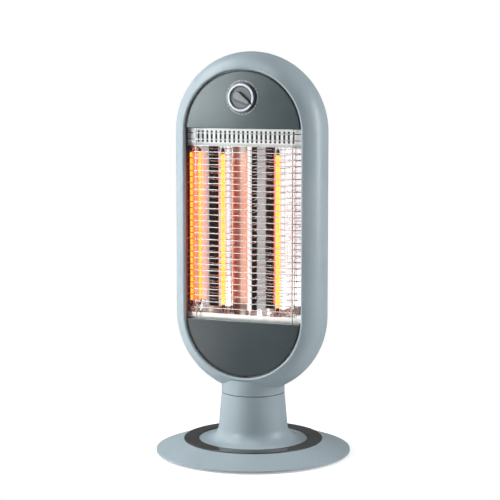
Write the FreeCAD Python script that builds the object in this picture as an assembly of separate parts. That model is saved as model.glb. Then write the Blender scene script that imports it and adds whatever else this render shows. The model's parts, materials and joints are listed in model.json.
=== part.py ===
import FreeCAD, Part
import math
import os
from FreeCAD import Vector

# All sizes are in millimetres. The floor is z = 0, the swivel axis is Z and the window faces -Y.

# Clearances and common stock
fit_gap = 0.3
running_gap = 0.05
thread_gap = 0.1
shell_wall = 2.5
sheet = 0.8
screw_radius = 1.5
screw_head_radius = 3.2
screw_head_height = 1.8
lead_radius = 1.2
supply_radius = 2.4
bend_share = 0.45
recess_depth = 0.6
recess_reach = 0.55
recess_half_width = 0.12
past_face = 1.0

# Base
base_radius = 138.6
rim_height = 2.5
rim_width = 5.5
deck_height = 18.5
ring_gap = 8.08
ring_width = 21.7
ring_rise = 1.5
ring_seat_depth = 2.5
ring_round = 1.0
shelf_overlap = 4.0
foot_height = 2.2
foot_radius = 8.0
foot_inset = 12.0
foot_count = 4
cover_thickness = 1.6
cover_boss_radius = 4.0
cover_screw_count = 4
ballast_inset = 4.0
ballast_width = 37.0
ballast_thickness = 7.2

# Pedestal and swivel
neck_radius = 44.8
neck_taper = 5.2
flare_radius = 20.0
swivel_height = 86.7
swivel_slit = 1.0
neck_deck_thickness = 3.0
bearing_recess = 3.2
bearing_inner = 26.0
bearing_outer = 38.0
pedestal_screw_inset = 11.3
pedestal_boss_radius = 4.5
pedestal_screw_count = 4
pivot_radius = 11.0
pivot_bore = 8.5
pivot_flange_radius = 19.0
pivot_flange_thickness = 2.5
pivot_screw_count = 3
pivot_screw_head_radius = 2.7
thread_show = 1.0
washer_radius = 17.0
washer_thickness = 1.0
gear_module = 1.0
gear_teeth = 36
pinion_teeth = 15
gear_pressure_angle = 20.0
gear_root_depth = 1.2
flank_steps = 4
gear_width = 8.0
pinion_width = 7.0
tooth_backlash = 0.25
nut_width = 30.0
nut_thickness = 5.0
collar_skirt = 2.8
collar_deck = 3.0
spigot_radius = 38.2
spigot_wall = 2.0
spigot_rise = 24.8
collar_boss_circle = 31.0
collar_boss_radius = 3.6
collar_boss_angles = (100.0, 180.0, 260.0)
collar_screw_length = 14.0

# Cord entry at the back of the pedestal
grommet_height = 50.0
grommet_radius = 6.0
grommet_bore = 3.6
grommet_flange_radius = 8.0
grommet_flange = 2.5
grommet_tail = 4.0

# Tilt switch under the pedestal
plunger_x = 0.0
plunger_y = -30.0
plunger_radius = 4.0
plunger_flange_radius = 6.3
plunger_flange = 2.0
plunger_travel = 5.0
guide_wall = 3.0
guide_height = 8.4
switch_length = 20.0
switch_width = 14.0
switch_height = 11.0
switch_button_radius = 1.5
switch_button_height = 2.6
switch_post = 3.0
blade_thickness = 0.8
blade_length = 6.0
switch_blade_width = 4.8
switch_blade_pitch = 7.0
block_length = 30.0
block_width = 12.0
block_height = 14.0
block_poles = 3
terminal_bore = 3.0
base_block_x = -20.0
base_block_y = 22.0
inlet_stub = 6.5
inlet_rise = 14.0
riser_rise = 16.0
riser_waist = 0.4

# Head
head_half_width = 111.5
straight_length = 257.0
head_lift = 1.3
front_plane = -43.0
split_plane = -8.0
rear_round = 54.0
bezel_width = 24.5
rim_bead = 2.4
housing_boss_inset = 14.0
housing_boss_radius = 4.5
housing_recess_radius = 3.8
housing_floor = 12.0
housing_screw_length = 26.0
housing_screw_radius = 1.8
housing_screw_head_radius = 3.5
housing_screw_head_height = 2.4
housing_recess_wall = 1.2
housing_pilot_spare = 1.0
housing_side_inset = 24.0
housing_top_angle = 36.0
housing_low_angle = 52.0
vent_end_inset = 13.5
vent_width = 3.2
vent_pitch = 8.0
upper_vent_count = 9
lower_vent_count = 6
upper_vent_drop = 57.0
lower_vent_drop = 28.0

# Panels
panel_groove = 2.0
panel_recess = 2.0
panel_thickness = 3.5
panel_bevel = 0.8
window_top_rise = 5.3
window_bottom_drop = 7.3
ledge_width = 7.0
ledge_thickness = 2.0
ledge_relief = 1.0
panel_rib = 2.0
panel_rib_depth = 4.5
guard_socket_width = 8.0
guard_socket_depth = 6.0
guard_socket_height = 9.0
guard_socket_lip = 1.0
guard_socket_floor = 1.5
guard_end_air = 0.5

# Window: reflector, strips, tubes and guard
strip_setback = 14.0
strip_thickness = 1.0
vent_strip_height = 25.3
strip_tuck = 6.0
slot_count = 22
slot_margin = 24.9
slot_width = 2.4
slot_height = 16.0
slot_rise = 5.4
sill_height = 7.6
sill_depth_below = 8.0
floor_drop = 7.0
liner_thickness = 1.0
liner_setback = 0.6
lip_depth = 2.6
trough_flange = 2.93
crest_rise = 18.4
crest_sharpness = 1.46
wall_share = 0.475
wall_power = 4.69
trough_steps = 10
tube_spread = 4.6
tube_setback = 32.0
tube_backing = 17.2
tube_radius = 5.2
tube_wall = 1.0
tube_plug = 2.0
cap_radius = 7.6
cap_length = 20.0
cap_bore_depth = 12.0
cap_flange_radius = 10.0
cap_flange = 2.0
filament_width = 5.0
filament_thickness = 1.0
filament_clearance = 9.0
clamp_radius = 1.7
clamp_length = 7.0
clamp_grip = 1.0
filament_tail = 3.0
rod_radius = 0.5
guard_wire_radius = 0.65
guard_upright_radius = 1.0
guard_weld = 0.3
guard_pitch = 8.8
guard_top_gap = 7.0
guard_bottom_gap = 16.0
guard_bend_inset = 13.0
guard_bend_depth = 5.5
guard_bend_round = 4.0
upright_inset = 14.7

# Chassis and drive
chassis_sheet = 1.2
chassis_plane = 24.0
chassis_half_width = 20.0
chassis_top_rise = 32.0
foot_hole_radius = 13.0
end_plate_inset = 3.0
lead_notch = 4.0
lead_notch_depth = 10.0
chassis_screw_x = 14.0
chassis_screw_spread = 60.0
chassis_screw_drop = 6.5
chassis_boss_radius = 4.5
motor_radius = 21.0
motor_height = 17.0
motor_boss_radius = 6.5
motor_boss_drop = 5.0
motor_shaft_radius = 3.0
motor_shaft_depth = 10.0
motor_ear_reach = 24.5
motor_ear_radius = 3.6
motor_ear_thickness = 1.5
motor_ear_root = 0.8
motor_round = 1.2
head_block_air = 20.0

# Control knob and its switch
knob_lift = 3.05
knob_radius = 19.7
knob_thickness = 4.5
knob_air = 0.6
knob_dish = 1.2
knob_dish_wall = 1.0
shaft_into_grip = 1.0
knob_turn = 120.0
trim_width = 3.9
trim_rise = 1.0
trim_depth = 2.6
trim_round = 0.8
grip_height = 4.5
grip_tail_radius = 5.6
grip_tail_offset = 4.6
grip_tip_radius = 1.7
grip_tip_inset = 2.2
grip_round = 1.2
control_body = 32.0
control_depth = 19.5
control_round = 3.0
bush_radius = 4.8
bush_nut_width = 14.0
bush_nut_thickness = 2.0
control_shaft_radius = 3.0
control_shaft_depth = 8.0
cutout_radius = 8.0
cutout_height = 9.0
cutout_x = -20.0
cutout_y = 6.0
cutout_blade_width = 6.0
cutout_blade_pitch = 8.0

# Leads in the head
lamp_stub = 22.0
lamp_drop = 18.0
lamp_rise = 38.0
lead_pull = 12.0
switch_pole_x = 9.0
switch_pole_drop = 8.0
lead_stub = 8.0
supply_sweep = 20.0

# Worked-out levels and radii
cover_top = foot_height + cover_thickness
ring_seat = deck_height - ring_seat_depth
cover_radius = base_radius - rim_width - fit_gap
ballast_top = cover_top + ballast_thickness
pedestal_top = swivel_height - swivel_slit / 2
taper_slope = math.tan(math.radians(neck_taper))
taper_cosine = math.cos(math.radians(neck_taper))
flare_top_drop = pedestal_top - deck_height - flare_radius
flare_foot = neck_radius + flare_top_drop * taper_slope + flare_radius / taper_cosine
ring_inner = flare_foot + ring_gap
ring_outer = ring_inner + ring_width
shelf_inner = ring_inner - shelf_overlap
ballast_outer = ring_outer - ballast_inset
ballast_inner = ballast_outer - ballast_width
pedestal_screw_circle = ring_inner - pedestal_screw_inset
collar_bottom = swivel_height + swivel_slit / 2
neck_deck_top = pedestal_top - bearing_recess
neck_deck_bottom = neck_deck_top - neck_deck_thickness
collar_deck_top = collar_bottom + collar_deck
washer_bottom = collar_deck_top + fit_gap
gear_bottom = washer_bottom + washer_thickness
gear_top = gear_bottom + gear_width
nut_top = gear_top + nut_thickness
pivot_top = nut_top + thread_show
foot_plate_bottom = collar_bottom + spigot_rise
foot_plate_top = foot_plate_bottom + chassis_sheet
gear_radius = gear_module * gear_teeth / 2
pinion_radius = gear_module * pinion_teeth / 2
drive_distance = gear_radius + pinion_radius
opening_half_width = head_half_width - bezel_width
lower_centre = collar_bottom + head_lift + head_half_width
upper_centre = lower_centre + straight_length
middle_height = (lower_centre + upper_centre) / 2
back_plane = split_plane + rear_round
window_top = upper_centre + window_top_rise
window_bottom = lower_centre - window_bottom_drop
panel_front = front_plane + panel_recess
panel_back = panel_front + panel_thickness
panel_radius = opening_half_width - panel_groove
ledge_inner = opening_half_width - ledge_width
strip_front = front_plane + strip_setback
strip_back = strip_front + strip_thickness
trough_top = window_top - vent_strip_height
sill_top = window_bottom + sill_height
trough_bottom = sill_top - floor_drop
tube_y = front_plane + tube_setback
liner_inner = opening_half_width + liner_setback
lip_front = strip_back - lip_depth
trough_half_width = liner_inner - trough_flange
tube_x = (liner_inner - tube_spread) / 2
trough_vertex = tube_y + tube_backing
guard_plane = panel_back + guard_wire_radius
upright_plane = guard_plane + guard_wire_radius + guard_upright_radius - guard_weld
guard_top = window_top - guard_top_gap
guard_count = int((guard_top - window_bottom - guard_bottom_gap) / guard_pitch) + 1
knob_height = upper_centre + (window_top_rise + panel_radius) / 2 + knob_lift
knob_back = panel_front - knob_air
knob_face = knob_back - knob_thickness
control_back = panel_back + control_depth
housing_boss_line = head_half_width - housing_boss_inset
vent_half_length = head_half_width - rear_round - vent_end_inset
upright_offset = opening_half_width - upright_inset
end_plate_half_width = opening_half_width - end_plate_inset
slot_pitch = (2 * opening_half_width - slot_margin) / slot_count
block_pitch = block_length / block_poles

UP = Vector(0, 0, 1)
DOWN = Vector(0, 0, -1)
BACK = Vector(0, 1, 0)
FRONT = Vector(0, -1, 0)


def block(x0, x1, y0, y1, z0, z1):
    return Part.makeBox(x1 - x0, y1 - y0, z1 - z0, Vector(x0, y0, z0))


def rod(radius, start, end):
    start = Vector(*start)
    run = Vector(*end) - start
    return Part.makeCylinder(radius, run.Length, start, run)


def pipe(outer, inner, start, end):
    return rod(outer, start, end).cut(rod(inner, start, end))


def polar(centre, radius, degrees):
    angle = math.radians(degrees)
    return centre[0] + radius * math.cos(angle), centre[1] + radius * math.sin(angle)


def on_circle(radius, count, first=0.0):
    return [polar((0, 0), radius, first + 360.0 * i / count) for i in range(count)]


def outline(steps, place):
    """A face bounded by straight steps (a, b) and arc steps ((a, b) through, (a, b) end)."""
    start = place(*steps[0])
    here = start
    edges = []
    for step in steps[1:] + [steps[0]]:
        if isinstance(step[0], tuple):
            through = place(*step[0])
            end = place(*step[1])
            edges.append(Part.Arc(here, through, end).toShape())
        else:
            end = place(*step)
            if end.distanceToPoint(here) > 1e-6:
                edges.append(Part.LineSegment(here, end).toShape())
        here = end
    return Part.Face(Part.Wire(edges))


def turned(steps):
    """A solid turned about the swivel axis from a section of (radius, height) steps."""
    section = outline(steps, lambda r, z: Vector(r, 0, z))
    return section.revolve(Vector(0, 0, 0), UP, 360)


def round_spine(steps):
    """Carries a section of (distance from spine, depth) steps round the head's pill-shaped spine."""
    section = outline(steps, lambda r, y: Vector(r, y, lower_centre))
    half = section.revolve(Vector(0, 0, lower_centre), BACK, 180)
    half = half.fuse(section.extrude(Vector(0, 0, straight_length)))
    other = half.copy()
    other.rotate(Vector(0, 0, middle_height), BACK, 180)
    return half.fuse(other).removeSplitter().Solids[0]


def screw(seat, into, radius, length, head_radius, head_height):
    """A pan-head screw with a cross recess; seat is the middle of the underside of its head."""
    seat = Vector(*seat)
    shank = Part.makeCylinder(radius, length, seat, into)
    head = Part.makeCylinder(head_radius, head_height, seat, into * -1)
    side = UP if abs(into.z) < 0.5 else BACK
    floor = seat - into * (head_height * (1 - recess_depth))
    recess = []
    for arm in (side, side.cross(into)):
        along = arm * (head_radius * recess_reach)
        across = arm.cross(into) * (head_radius * recess_half_width)
        corners = [floor - along - across, floor + along - across,
                   floor + along + across, floor - along + across]
        face = Part.Face(Part.makePolygon(corners + corners[:1]))
        recess.append(face.extrude(into * -head_height))
    return shank.fuse(head.cut(recess[0].fuse(recess[1]))).removeSplitter()


def hexagon(width, start_z, thickness):
    corner = width / math.sqrt(3)
    points = [Vector(x, y, start_z) for x, y in on_circle(corner, 6)]
    return Part.Face(Part.makePolygon(points + points[:1])).extrude(UP * thickness)


def tangent_path(points, radius_limit=None):
    """Straight runs joined by arcs, each as large as its two runs allow."""
    points = [Vector(*p) for p in points]
    edges = []
    here = points[0]
    for before, corner, after in zip(points, points[1:], points[2:]):
        inward = (before - corner).normalize()
        outward = (after - corner).normalize()
        half_turn = (math.pi - inward.getAngle(outward)) / 2
        trim = bend_share * min(before.distanceToPoint(corner), after.distanceToPoint(corner))
        if radius_limit:
            trim = min(trim, radius_limit * math.tan(half_turn))
        radius = trim / math.tan(half_turn)
        bisector = (inward + outward).normalize()
        middle = corner + bisector * (radius / math.cos(half_turn) - radius)
        start = corner + inward * trim
        end = corner + outward * trim
        edges.append(Part.LineSegment(here, start).toShape())
        edges.append(Part.Arc(start, middle, end).toShape())
        here = end
    edges.append(Part.LineSegment(here, points[-1]).toShape())
    return Part.Wire(edges)


def wire_along(points, radius, radius_limit=None):
    path = tangent_path(points, radius_limit)
    start = Vector(*points[0])
    ring = Part.Wire(Part.makeCircle(radius, start, Vector(*points[1]) - start))
    return path.makePipeShell([ring], True, False)


def group(solids):
    return Part.makeCompound(solids)


# Base

dish_slope = (deck_height - foot_height - rim_height) / (base_radius - ring_outer - fit_gap)


def dish_top(radius):
    return foot_height + rim_height + (base_radius - radius) * dish_slope


def dish_under(radius):
    return dish_top(radius) - shell_wall * math.hypot(1, dish_slope)


cover_screw_circle = (ring_outer + base_radius - rim_width) / 2
cover_screw_points = on_circle(cover_screw_circle, cover_screw_count, 0)
pedestal_screw_points = on_circle(pedestal_screw_circle, pedestal_screw_count, 45)
foot_points = on_circle(base_radius - rim_width - foot_inset, foot_count, 45)


def base_dish():
    well = ring_outer + fit_gap
    lip = base_radius - rim_width
    body = turned([
        (base_radius, foot_height),
        (base_radius, foot_height + rim_height),
        (well, deck_height),
        (well, ring_seat),
        (shelf_inner, ring_seat),
        (shelf_inner, ring_seat - shell_wall),
        (well - shell_wall, ring_seat - shell_wall),
        (well, dish_under(well)),
        (lip, dish_under(lip)),
        (lip, foot_height)])
    for x, y in cover_screw_points:
        top = dish_under(cover_screw_circle)
        body = body.fuse(rod(cover_boss_radius, (x, y, cover_top), (x, y, top)))
    for x, y in cover_screw_points:
        hole_top = dish_under(cover_screw_circle)
        body = body.cut(rod(screw_radius + thread_gap, (x, y, cover_top), (x, y, hole_top)))
    return body.removeSplitter()


def base_ring():
    top = deck_height + ring_rise
    inner = ring_inner + fit_gap
    corner = ring_round * (1 - math.sqrt(0.5))
    return turned([
        (inner, ring_seat),
        (ring_outer, ring_seat),
        (ring_outer, top - ring_round),
        ((ring_outer - corner, top - corner), (ring_outer - ring_round, top)),
        (inner + ring_round, top),
        ((inner + corner, top - corner), (inner, top - ring_round))])


def bottom_cover():
    plate = rod(cover_radius, (0, 0, foot_height), (0, 0, cover_top))
    guide = rod(plunger_radius + guide_wall, (plunger_x, plunger_y, foot_height),
                (plunger_x, plunger_y, cover_top + guide_height))
    post_y = plunger_y - switch_width / 2
    post = block(plunger_x - switch_length / 2, plunger_x + switch_length / 2, post_y - switch_post, post_y,
                 foot_height, tilt_switch_bottom + switch_height)
    plate = plate.fuse([guide, post])
    holes = [rod(screw_radius + thread_gap, (x, y, foot_height), (x, y, cover_top))
             for x, y in cover_screw_points + pedestal_screw_points]
    holes.append(rod(plunger_radius + running_gap, (plunger_x, plunger_y, foot_height),
                     (plunger_x, plunger_y, cover_top + guide_height)))
    return plate.cut(holes)


def base_weight():
    ring = pipe(ballast_outer, ballast_inner, (0, 0, cover_top), (0, 0, ballast_top))
    holes = [rod(screw_radius + fit_gap, (x, y, cover_top), (x, y, ballast_top))
             for x, y in pedestal_screw_points]
    return ring.cut(holes)


def rubber_feet():
    def foot(x, y):
        pad = rod(foot_radius, (x, y, 0), (x, y, foot_height))
        lower = [edge for edge in pad.Edges if edge.BoundBox.ZMax < foot_height / 2]
        return pad.makeFillet(foot_height / 4, lower)
    return group([foot(x, y) for x, y in foot_points])


def cover_screws():
    reach = dish_under(cover_screw_circle) - foot_height - fit_gap
    return group([screw((x, y, foot_height), UP, screw_radius, reach, screw_head_radius, screw_head_height)
                  for x, y in cover_screw_points])


def pedestal_screws():
    reach = ring_seat - foot_height - fit_gap
    return group([screw((x, y, foot_height), UP, screw_radius, reach, screw_head_radius, screw_head_height)
                  for x, y in pedestal_screw_points])


def pedestal_section(inset, foot_radius_at, foot_level):
    """The waisted outline of the neck, inset by a wall: top point, then taper, flare arc and foot."""
    flare = flare_radius + inset
    centre_z = foot_level + flare
    top_radius = neck_radius - inset / taper_cosine
    centre = (top_radius + (pedestal_top - centre_z) * taper_slope + flare / taper_cosine, centre_z)
    return [
        (top_radius, pedestal_top),
        polar(centre, flare, 180 + neck_taper),
        (polar(centre, flare, 225 + neck_taper / 2), polar(centre, flare, 270)),
        (foot_radius_at, foot_level)]


def pedestal():
    outer = turned(pedestal_section(0, ring_inner, deck_height)
                   + [(ring_inner, ring_seat), (0, ring_seat), (0, pedestal_top)])
    inner_line = pedestal_section(shell_wall, shelf_inner - fit_gap, deck_height - shell_wall)
    wall_radius = inner_line[0][0]
    below = ring_seat - past_face
    hollow = turned(inner_line[1:3] + [(inner_line[2][1][0], below), (0, below),
                                       (0, neck_deck_bottom), (wall_radius, neck_deck_bottom)])
    well = rod(wall_radius, (0, 0, neck_deck_top), (0, 0, pedestal_top))
    body = outer.cut([hollow, well])
    bosses = [rod(pedestal_boss_radius, (x, y, ballast_top), (x, y, ring_seat))
              for x, y in pedestal_screw_points]
    body = body.fuse(bosses)
    holes = [rod(screw_radius + thread_gap, (x, y, ballast_top), (x, y, ring_seat))
             for x, y in pedestal_screw_points]
    holes.append(rod(pivot_radius, (0, 0, neck_deck_bottom), (0, 0, neck_deck_top)))
    holes.extend(rod(screw_radius + thread_gap, (x, y, neck_deck_bottom), (x, y, neck_deck_top))
                 for x, y in pivot_screw_points)
    holes.append(rod(grommet_radius, (0, 0, grommet_height), (0, base_radius, grommet_height)))
    return body.cut(holes).removeSplitter()


def neck_radius_at(height):
    return neck_radius + (pedestal_top - height) * taper_slope


def grommet_wall_inner():
    return math.sqrt(neck_radius_at(grommet_height) ** 2 - grommet_radius ** 2) - shell_wall


def cord_grommet():
    wall_outer = neck_radius_at(grommet_height - grommet_flange_radius)
    tail_y = grommet_wall_inner() - grommet_tail
    sleeve = rod(grommet_radius, (0, tail_y, grommet_height), (0, wall_outer, grommet_height))
    flange = rod(grommet_flange_radius, (0, wall_outer, grommet_height),
                 (0, wall_outer + grommet_flange, grommet_height))
    bore = rod(grommet_bore, (0, 0, grommet_height), (0, base_radius, grommet_height))
    body = sleeve.fuse(flange).cut(bore).removeSplitter()
    face_y = wall_outer + grommet_flange
    rim = [edge for edge in body.Edges if edge.BoundBox.YMin > face_y - 0.01]
    return body.makeFillet(grommet_flange / 4, rim)


# Tilt switch

plunger_top = cover_top + guide_height + plunger_travel + plunger_flange + fit_gap
tilt_switch_bottom = plunger_top + fit_gap + switch_button_height


def tilt_plunger():
    pin = rod(plunger_radius, (plunger_x, plunger_y, 0), (plunger_x, plunger_y, plunger_top))
    pin = pin.makeFillet(plunger_radius / 3, [edge for edge in pin.Edges if edge.BoundBox.ZMax < 0.01])
    flange = rod(plunger_flange_radius, (plunger_x, plunger_y, plunger_top - plunger_flange),
                 (plunger_x, plunger_y, plunger_top))
    return pin.fuse(flange).removeSplitter()


def tilt_switch():
    body = block(plunger_x - switch_length / 2, plunger_x + switch_length / 2,
                 plunger_y - switch_width / 2, plunger_y + switch_width / 2,
                 tilt_switch_bottom, tilt_switch_bottom + switch_height)
    button = rod(switch_button_radius, (plunger_x, plunger_y, tilt_switch_bottom - switch_button_height),
                 (plunger_x, plunger_y, tilt_switch_bottom))
    top = tilt_switch_bottom + switch_height
    half_width = switch_blade_width / 2
    blades = []
    for step in (-1, 0, 1):
        x = plunger_x + step * switch_blade_pitch
        blades.append(block(x - blade_thickness / 2, x + blade_thickness / 2,
                            plunger_y - half_width, plunger_y + half_width, top, top + blade_length))
    return body.fuse([button] + blades)


def terminal_block(x, y, z):
    body = block(x - block_length / 2, x + block_length / 2, y - block_width / 2, y + block_width / 2,
                 z, z + block_height)
    for i in range(block_poles):
        pole_x = x + (i - (block_poles - 1) / 2) * block_pitch
        body = body.cut(rod(terminal_bore, (pole_x, y, z + block_height / 2), (pole_x, y, z + block_height)))
    return body


def base_terminal_block():
    return terminal_block(base_block_x, base_block_y, cover_top)


def base_leads():
    block_top = cover_top + block_height
    start_y = grommet_wall_inner() - grommet_tail - fit_gap
    inlet_x = base_block_x + block_pitch
    inlet = wire_along([
        (0, start_y, grommet_height),
        (0, start_y - inlet_stub, grommet_height),
        (inlet_x, base_block_y, block_top + inlet_rise),
        (inlet_x, base_block_y, block_top + fit_gap)], supply_radius)
    riser_x = base_block_x - block_pitch
    riser = wire_along([
        (riser_x, base_block_y, block_top + fit_gap),
        (riser_x, base_block_y, block_top + riser_rise),
        (riser_x * riser_waist, base_block_y * riser_waist, block_top + 2 * riser_rise),
        (0, 0, neck_deck_bottom - inlet_rise),
        (0, 0, pivot_top)], supply_radius)
    return group([inlet, riser])


# Swivel

pivot_screw_points = on_circle((pivot_radius + pivot_flange_radius) / 2, pivot_screw_count, 30)


def pivot_tube():
    foot = neck_deck_bottom - pivot_flange_thickness
    tube = rod(pivot_radius, (0, 0, foot), (0, 0, pivot_top))
    flange = rod(pivot_flange_radius, (0, 0, foot), (0, 0, neck_deck_bottom))
    holes = [rod(screw_radius + thread_gap, (x, y, foot), (x, y, neck_deck_bottom))
             for x, y in pivot_screw_points]
    holes.append(rod(pivot_bore, (0, 0, foot), (0, 0, pivot_top)))
    return tube.fuse(flange).cut(holes).removeSplitter()


def pivot_screws():
    seat = neck_deck_bottom - pivot_flange_thickness
    reach = pivot_flange_thickness + neck_deck_thickness - fit_gap
    return group([screw((x, y, seat), UP, screw_radius, reach, pivot_screw_head_radius, screw_head_height)
                  for x, y in pivot_screw_points])


def swivel_bearing():
    return pipe(bearing_outer, bearing_inner, (0, 0, neck_deck_top), (0, 0, collar_bottom - fit_gap))


def thrust_washer():
    return pipe(washer_radius, pivot_radius, (0, 0, washer_bottom), (0, 0, gear_bottom))


def spur_gear(teeth, width, bore):
    """An involute spur gear about Z, standing on z = 0, with a tooth centred on +X."""
    pressure = math.radians(gear_pressure_angle)
    pitch = gear_module * teeth / 2
    tip = pitch + gear_module
    root = pitch - gear_root_depth * gear_module
    base = pitch * math.cos(pressure)
    foot = max(base, root)
    half_tooth = (math.pi * gear_module / 2 - tooth_backlash) / (2 * pitch)

    def half_angle(radius):
        angle = math.acos(min(1.0, base / radius))
        return half_tooth + (math.tan(pressure) - pressure) - (math.tan(angle) - angle)

    def at(radius, angle):
        return Vector(radius * math.cos(angle), radius * math.sin(angle), 0)

    flank_radii = [foot + (tip - foot) * i / flank_steps for i in range(flank_steps + 1)]
    edges = []
    for i in range(teeth):
        middle = 2 * math.pi * i / teeth
        following = middle + 2 * math.pi / teeth
        rising = Part.BSplineCurve()
        rising.interpolate([at(r, middle - half_angle(r)) for r in flank_radii])
        falling = Part.BSplineCurve()
        falling.interpolate([at(r, middle + half_angle(r)) for r in reversed(flank_radii)])
        half_tip = half_angle(tip)
        tip_arc = Part.Arc(at(tip, middle - half_tip), at(tip, middle), at(tip, middle + half_tip))
        leave = at(root, middle + half_angle(foot))
        arrive = at(root, following - half_angle(foot))
        gap = Part.Arc(leave, at(root, (middle + following) / 2), arrive)
        if foot > root:
            edges.append(Part.LineSegment(at(root, middle - half_angle(foot)), rising.StartPoint).toShape())
        edges.extend([rising.toShape(), tip_arc.toShape(), falling.toShape()])
        if foot > root:
            edges.append(Part.LineSegment(falling.EndPoint, leave).toShape())
        edges.append(gap.toShape())
    disc = Part.Face(Part.Wire(edges)).extrude(UP * width)
    return disc.cut(rod(bore, (0, 0, 0), (0, 0, width)))


def fixed_gear():
    gear = spur_gear(gear_teeth, gear_width, pivot_radius)
    gear.translate(Vector(0, 0, gear_bottom))
    return gear


def retaining_nut():
    bore = rod(pivot_radius, (0, 0, gear_top), (0, 0, nut_top))
    return hexagon(nut_width, gear_top, nut_thickness).cut(bore)


pinion_bottom = gear_bottom + (gear_width - pinion_width) / 2
motor_floor = foot_plate_top


def drive_pinion():
    pinion = spur_gear(pinion_teeth, pinion_width, motor_shaft_radius)
    pinion.translate(Vector(drive_distance, 0, pinion_bottom))
    return pinion


def motor_shaft():
    return rod(motor_shaft_radius, (drive_distance, 0, pinion_bottom),
               (drive_distance, 0, motor_floor + motor_shaft_depth))


def motor_ear_points():
    return [(drive_distance, motor_ear_reach), (drive_distance, -motor_ear_reach)]


def oscillation_motor():
    can = rod(motor_radius, (drive_distance, 0, motor_floor), (drive_distance, 0, motor_floor + motor_height))
    middle = motor_floor + motor_height / 2
    can = can.makeFillet(motor_round, [edge for edge in can.Edges if edge.BoundBox.ZMin > middle])
    boss = rod(motor_boss_radius, (drive_distance, 0, motor_floor - motor_boss_drop),
               (drive_distance, 0, motor_floor))
    ears = []
    for x, y in motor_ear_points():
        ear = rod(motor_ear_radius, (x, y, motor_floor), (x, y, motor_floor + motor_ear_thickness))
        side = math.copysign(1, y)
        near, far = sorted((side * motor_radius * motor_ear_root, y))
        web = block(x - motor_ear_radius, x + motor_ear_radius, near, far,
                    motor_floor, motor_floor + motor_ear_thickness)
        ears.extend([ear, web])
    body = can.fuse([boss] + ears)
    bore = rod(motor_shaft_radius + running_gap, (drive_distance, 0, motor_floor - motor_boss_drop),
               (drive_distance, 0, motor_floor + motor_shaft_depth + fit_gap))
    holes = [rod(screw_radius + thread_gap, (x, y, motor_floor), (x, y, motor_floor + motor_ear_thickness))
             for x, y in motor_ear_points()]
    return body.cut([bore] + holes).removeSplitter()


def motor_screws():
    seat = motor_floor + motor_ear_thickness
    return group([screw((x, y, seat), DOWN, screw_radius, motor_ear_thickness + chassis_sheet,
                        screw_head_radius, screw_head_height) for x, y in motor_ear_points()])


collar_boss_points = [polar((0, 0), collar_boss_circle, angle) for angle in collar_boss_angles]


def neck_collar():
    skirt_top = lower_centre
    skirt = pipe(neck_radius, neck_radius - collar_skirt, (0, 0, collar_bottom), (0, 0, skirt_top))
    bead_bottom = lower_centre - opening_half_width - 2 * rim_bead
    before_bead = block(-neck_radius, neck_radius, -neck_radius, bead_centre[1], bead_bottom, skirt_top)
    skirt = skirt.cut([head_envelope(), before_bead])
    lowest = min(skirt.Solids, key=lambda solid: solid.BoundBox.ZMin)
    deck = rod(neck_radius, (0, 0, collar_bottom), (0, 0, collar_deck_top))
    spigot = pipe(spigot_radius, spigot_radius - spigot_wall,
                  (0, 0, collar_bottom), (0, 0, foot_plate_bottom))
    bosses = [rod(collar_boss_radius, (x, y, collar_bottom), (x, y, foot_plate_bottom))
              for x, y in collar_boss_points]
    body = lowest.fuse([deck, spigot] + bosses)
    holes = [rod(screw_radius + thread_gap, (x, y, collar_deck_top), (x, y, foot_plate_bottom))
             for x, y in collar_boss_points]
    holes.append(rod(pivot_radius + running_gap, (0, 0, collar_bottom), (0, 0, collar_deck_top)))
    return body.cut(holes).removeSplitter()


def collar_screws():
    return group([screw((x, y, foot_plate_top), DOWN, screw_radius, collar_screw_length,
                        screw_head_radius, screw_head_height) for x, y in collar_boss_points])


# Head shells

bead_centre = (opening_half_width + rim_bead, front_plane + rim_bead)
flare_across = head_half_width - bead_centre[0]
flare_along = split_plane - bead_centre[1]
flare_round = (flare_across ** 2 + flare_along ** 2 - rim_bead ** 2) / (2 * (flare_across - rim_bead))
flare_centre = (head_half_width - flare_round, split_plane)
flare_end = math.degrees(math.atan2(bead_centre[1] - flare_centre[1], bead_centre[0] - flare_centre[0]))
rear_centre = (head_half_width - rear_round, split_plane)


def front_outline():
    """Steps along the outside of the bezel, from the split round the flare and bead to the opening."""
    return [
        (head_half_width, split_plane),
        (polar(flare_centre, flare_round, flare_end / 2), polar(flare_centre, flare_round, flare_end)),
        (polar(bead_centre, rim_bead, (flare_end - 180) / 2), (opening_half_width, bead_centre[1]))]


def rear_outline(radius):
    """Steps along the rear shell from the split to the flat back, on its outside or its inside."""
    half_width = rear_centre[0] + radius
    return [
        (half_width, split_plane),
        (polar(rear_centre, radius, 45), polar(rear_centre, radius, 90))]


def head_envelope():
    """The filled outside of the whole head."""
    return round_spine(list(reversed_steps(front_outline())) + rear_outline(rear_round)[1:]
                       + [(0, back_plane), (0, bead_centre[1])])


def reversed_steps(steps):
    """The same outline walked the other way."""
    ends = [step[1] if isinstance(step[0], tuple) else step for step in steps]
    turned_round = [ends[-1]]
    for i in range(len(steps) - 1, 0, -1):
        through = steps[i][0] if isinstance(steps[i][0], tuple) else None
        turned_round.append((through, ends[i - 1]) if through else ends[i - 1])
    return turned_round


def housing_points():
    side = housing_boss_line
    low = math.radians(housing_low_angle)
    top = math.radians(housing_top_angle)
    points = []
    for sign in (-1, 1):
        points.append((sign * side, lower_centre + housing_side_inset))
        points.append((sign * side, upper_centre - housing_side_inset))
        points.append((sign * side * math.sin(top), upper_centre + side * math.cos(top)))
        points.append((sign * side * math.sin(low), lower_centre - side * math.cos(low)))
    return points


def neck_opening():
    return rod(spigot_radius + fit_gap / 2, (0, 0, 0), (0, 0, lower_centre))


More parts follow.
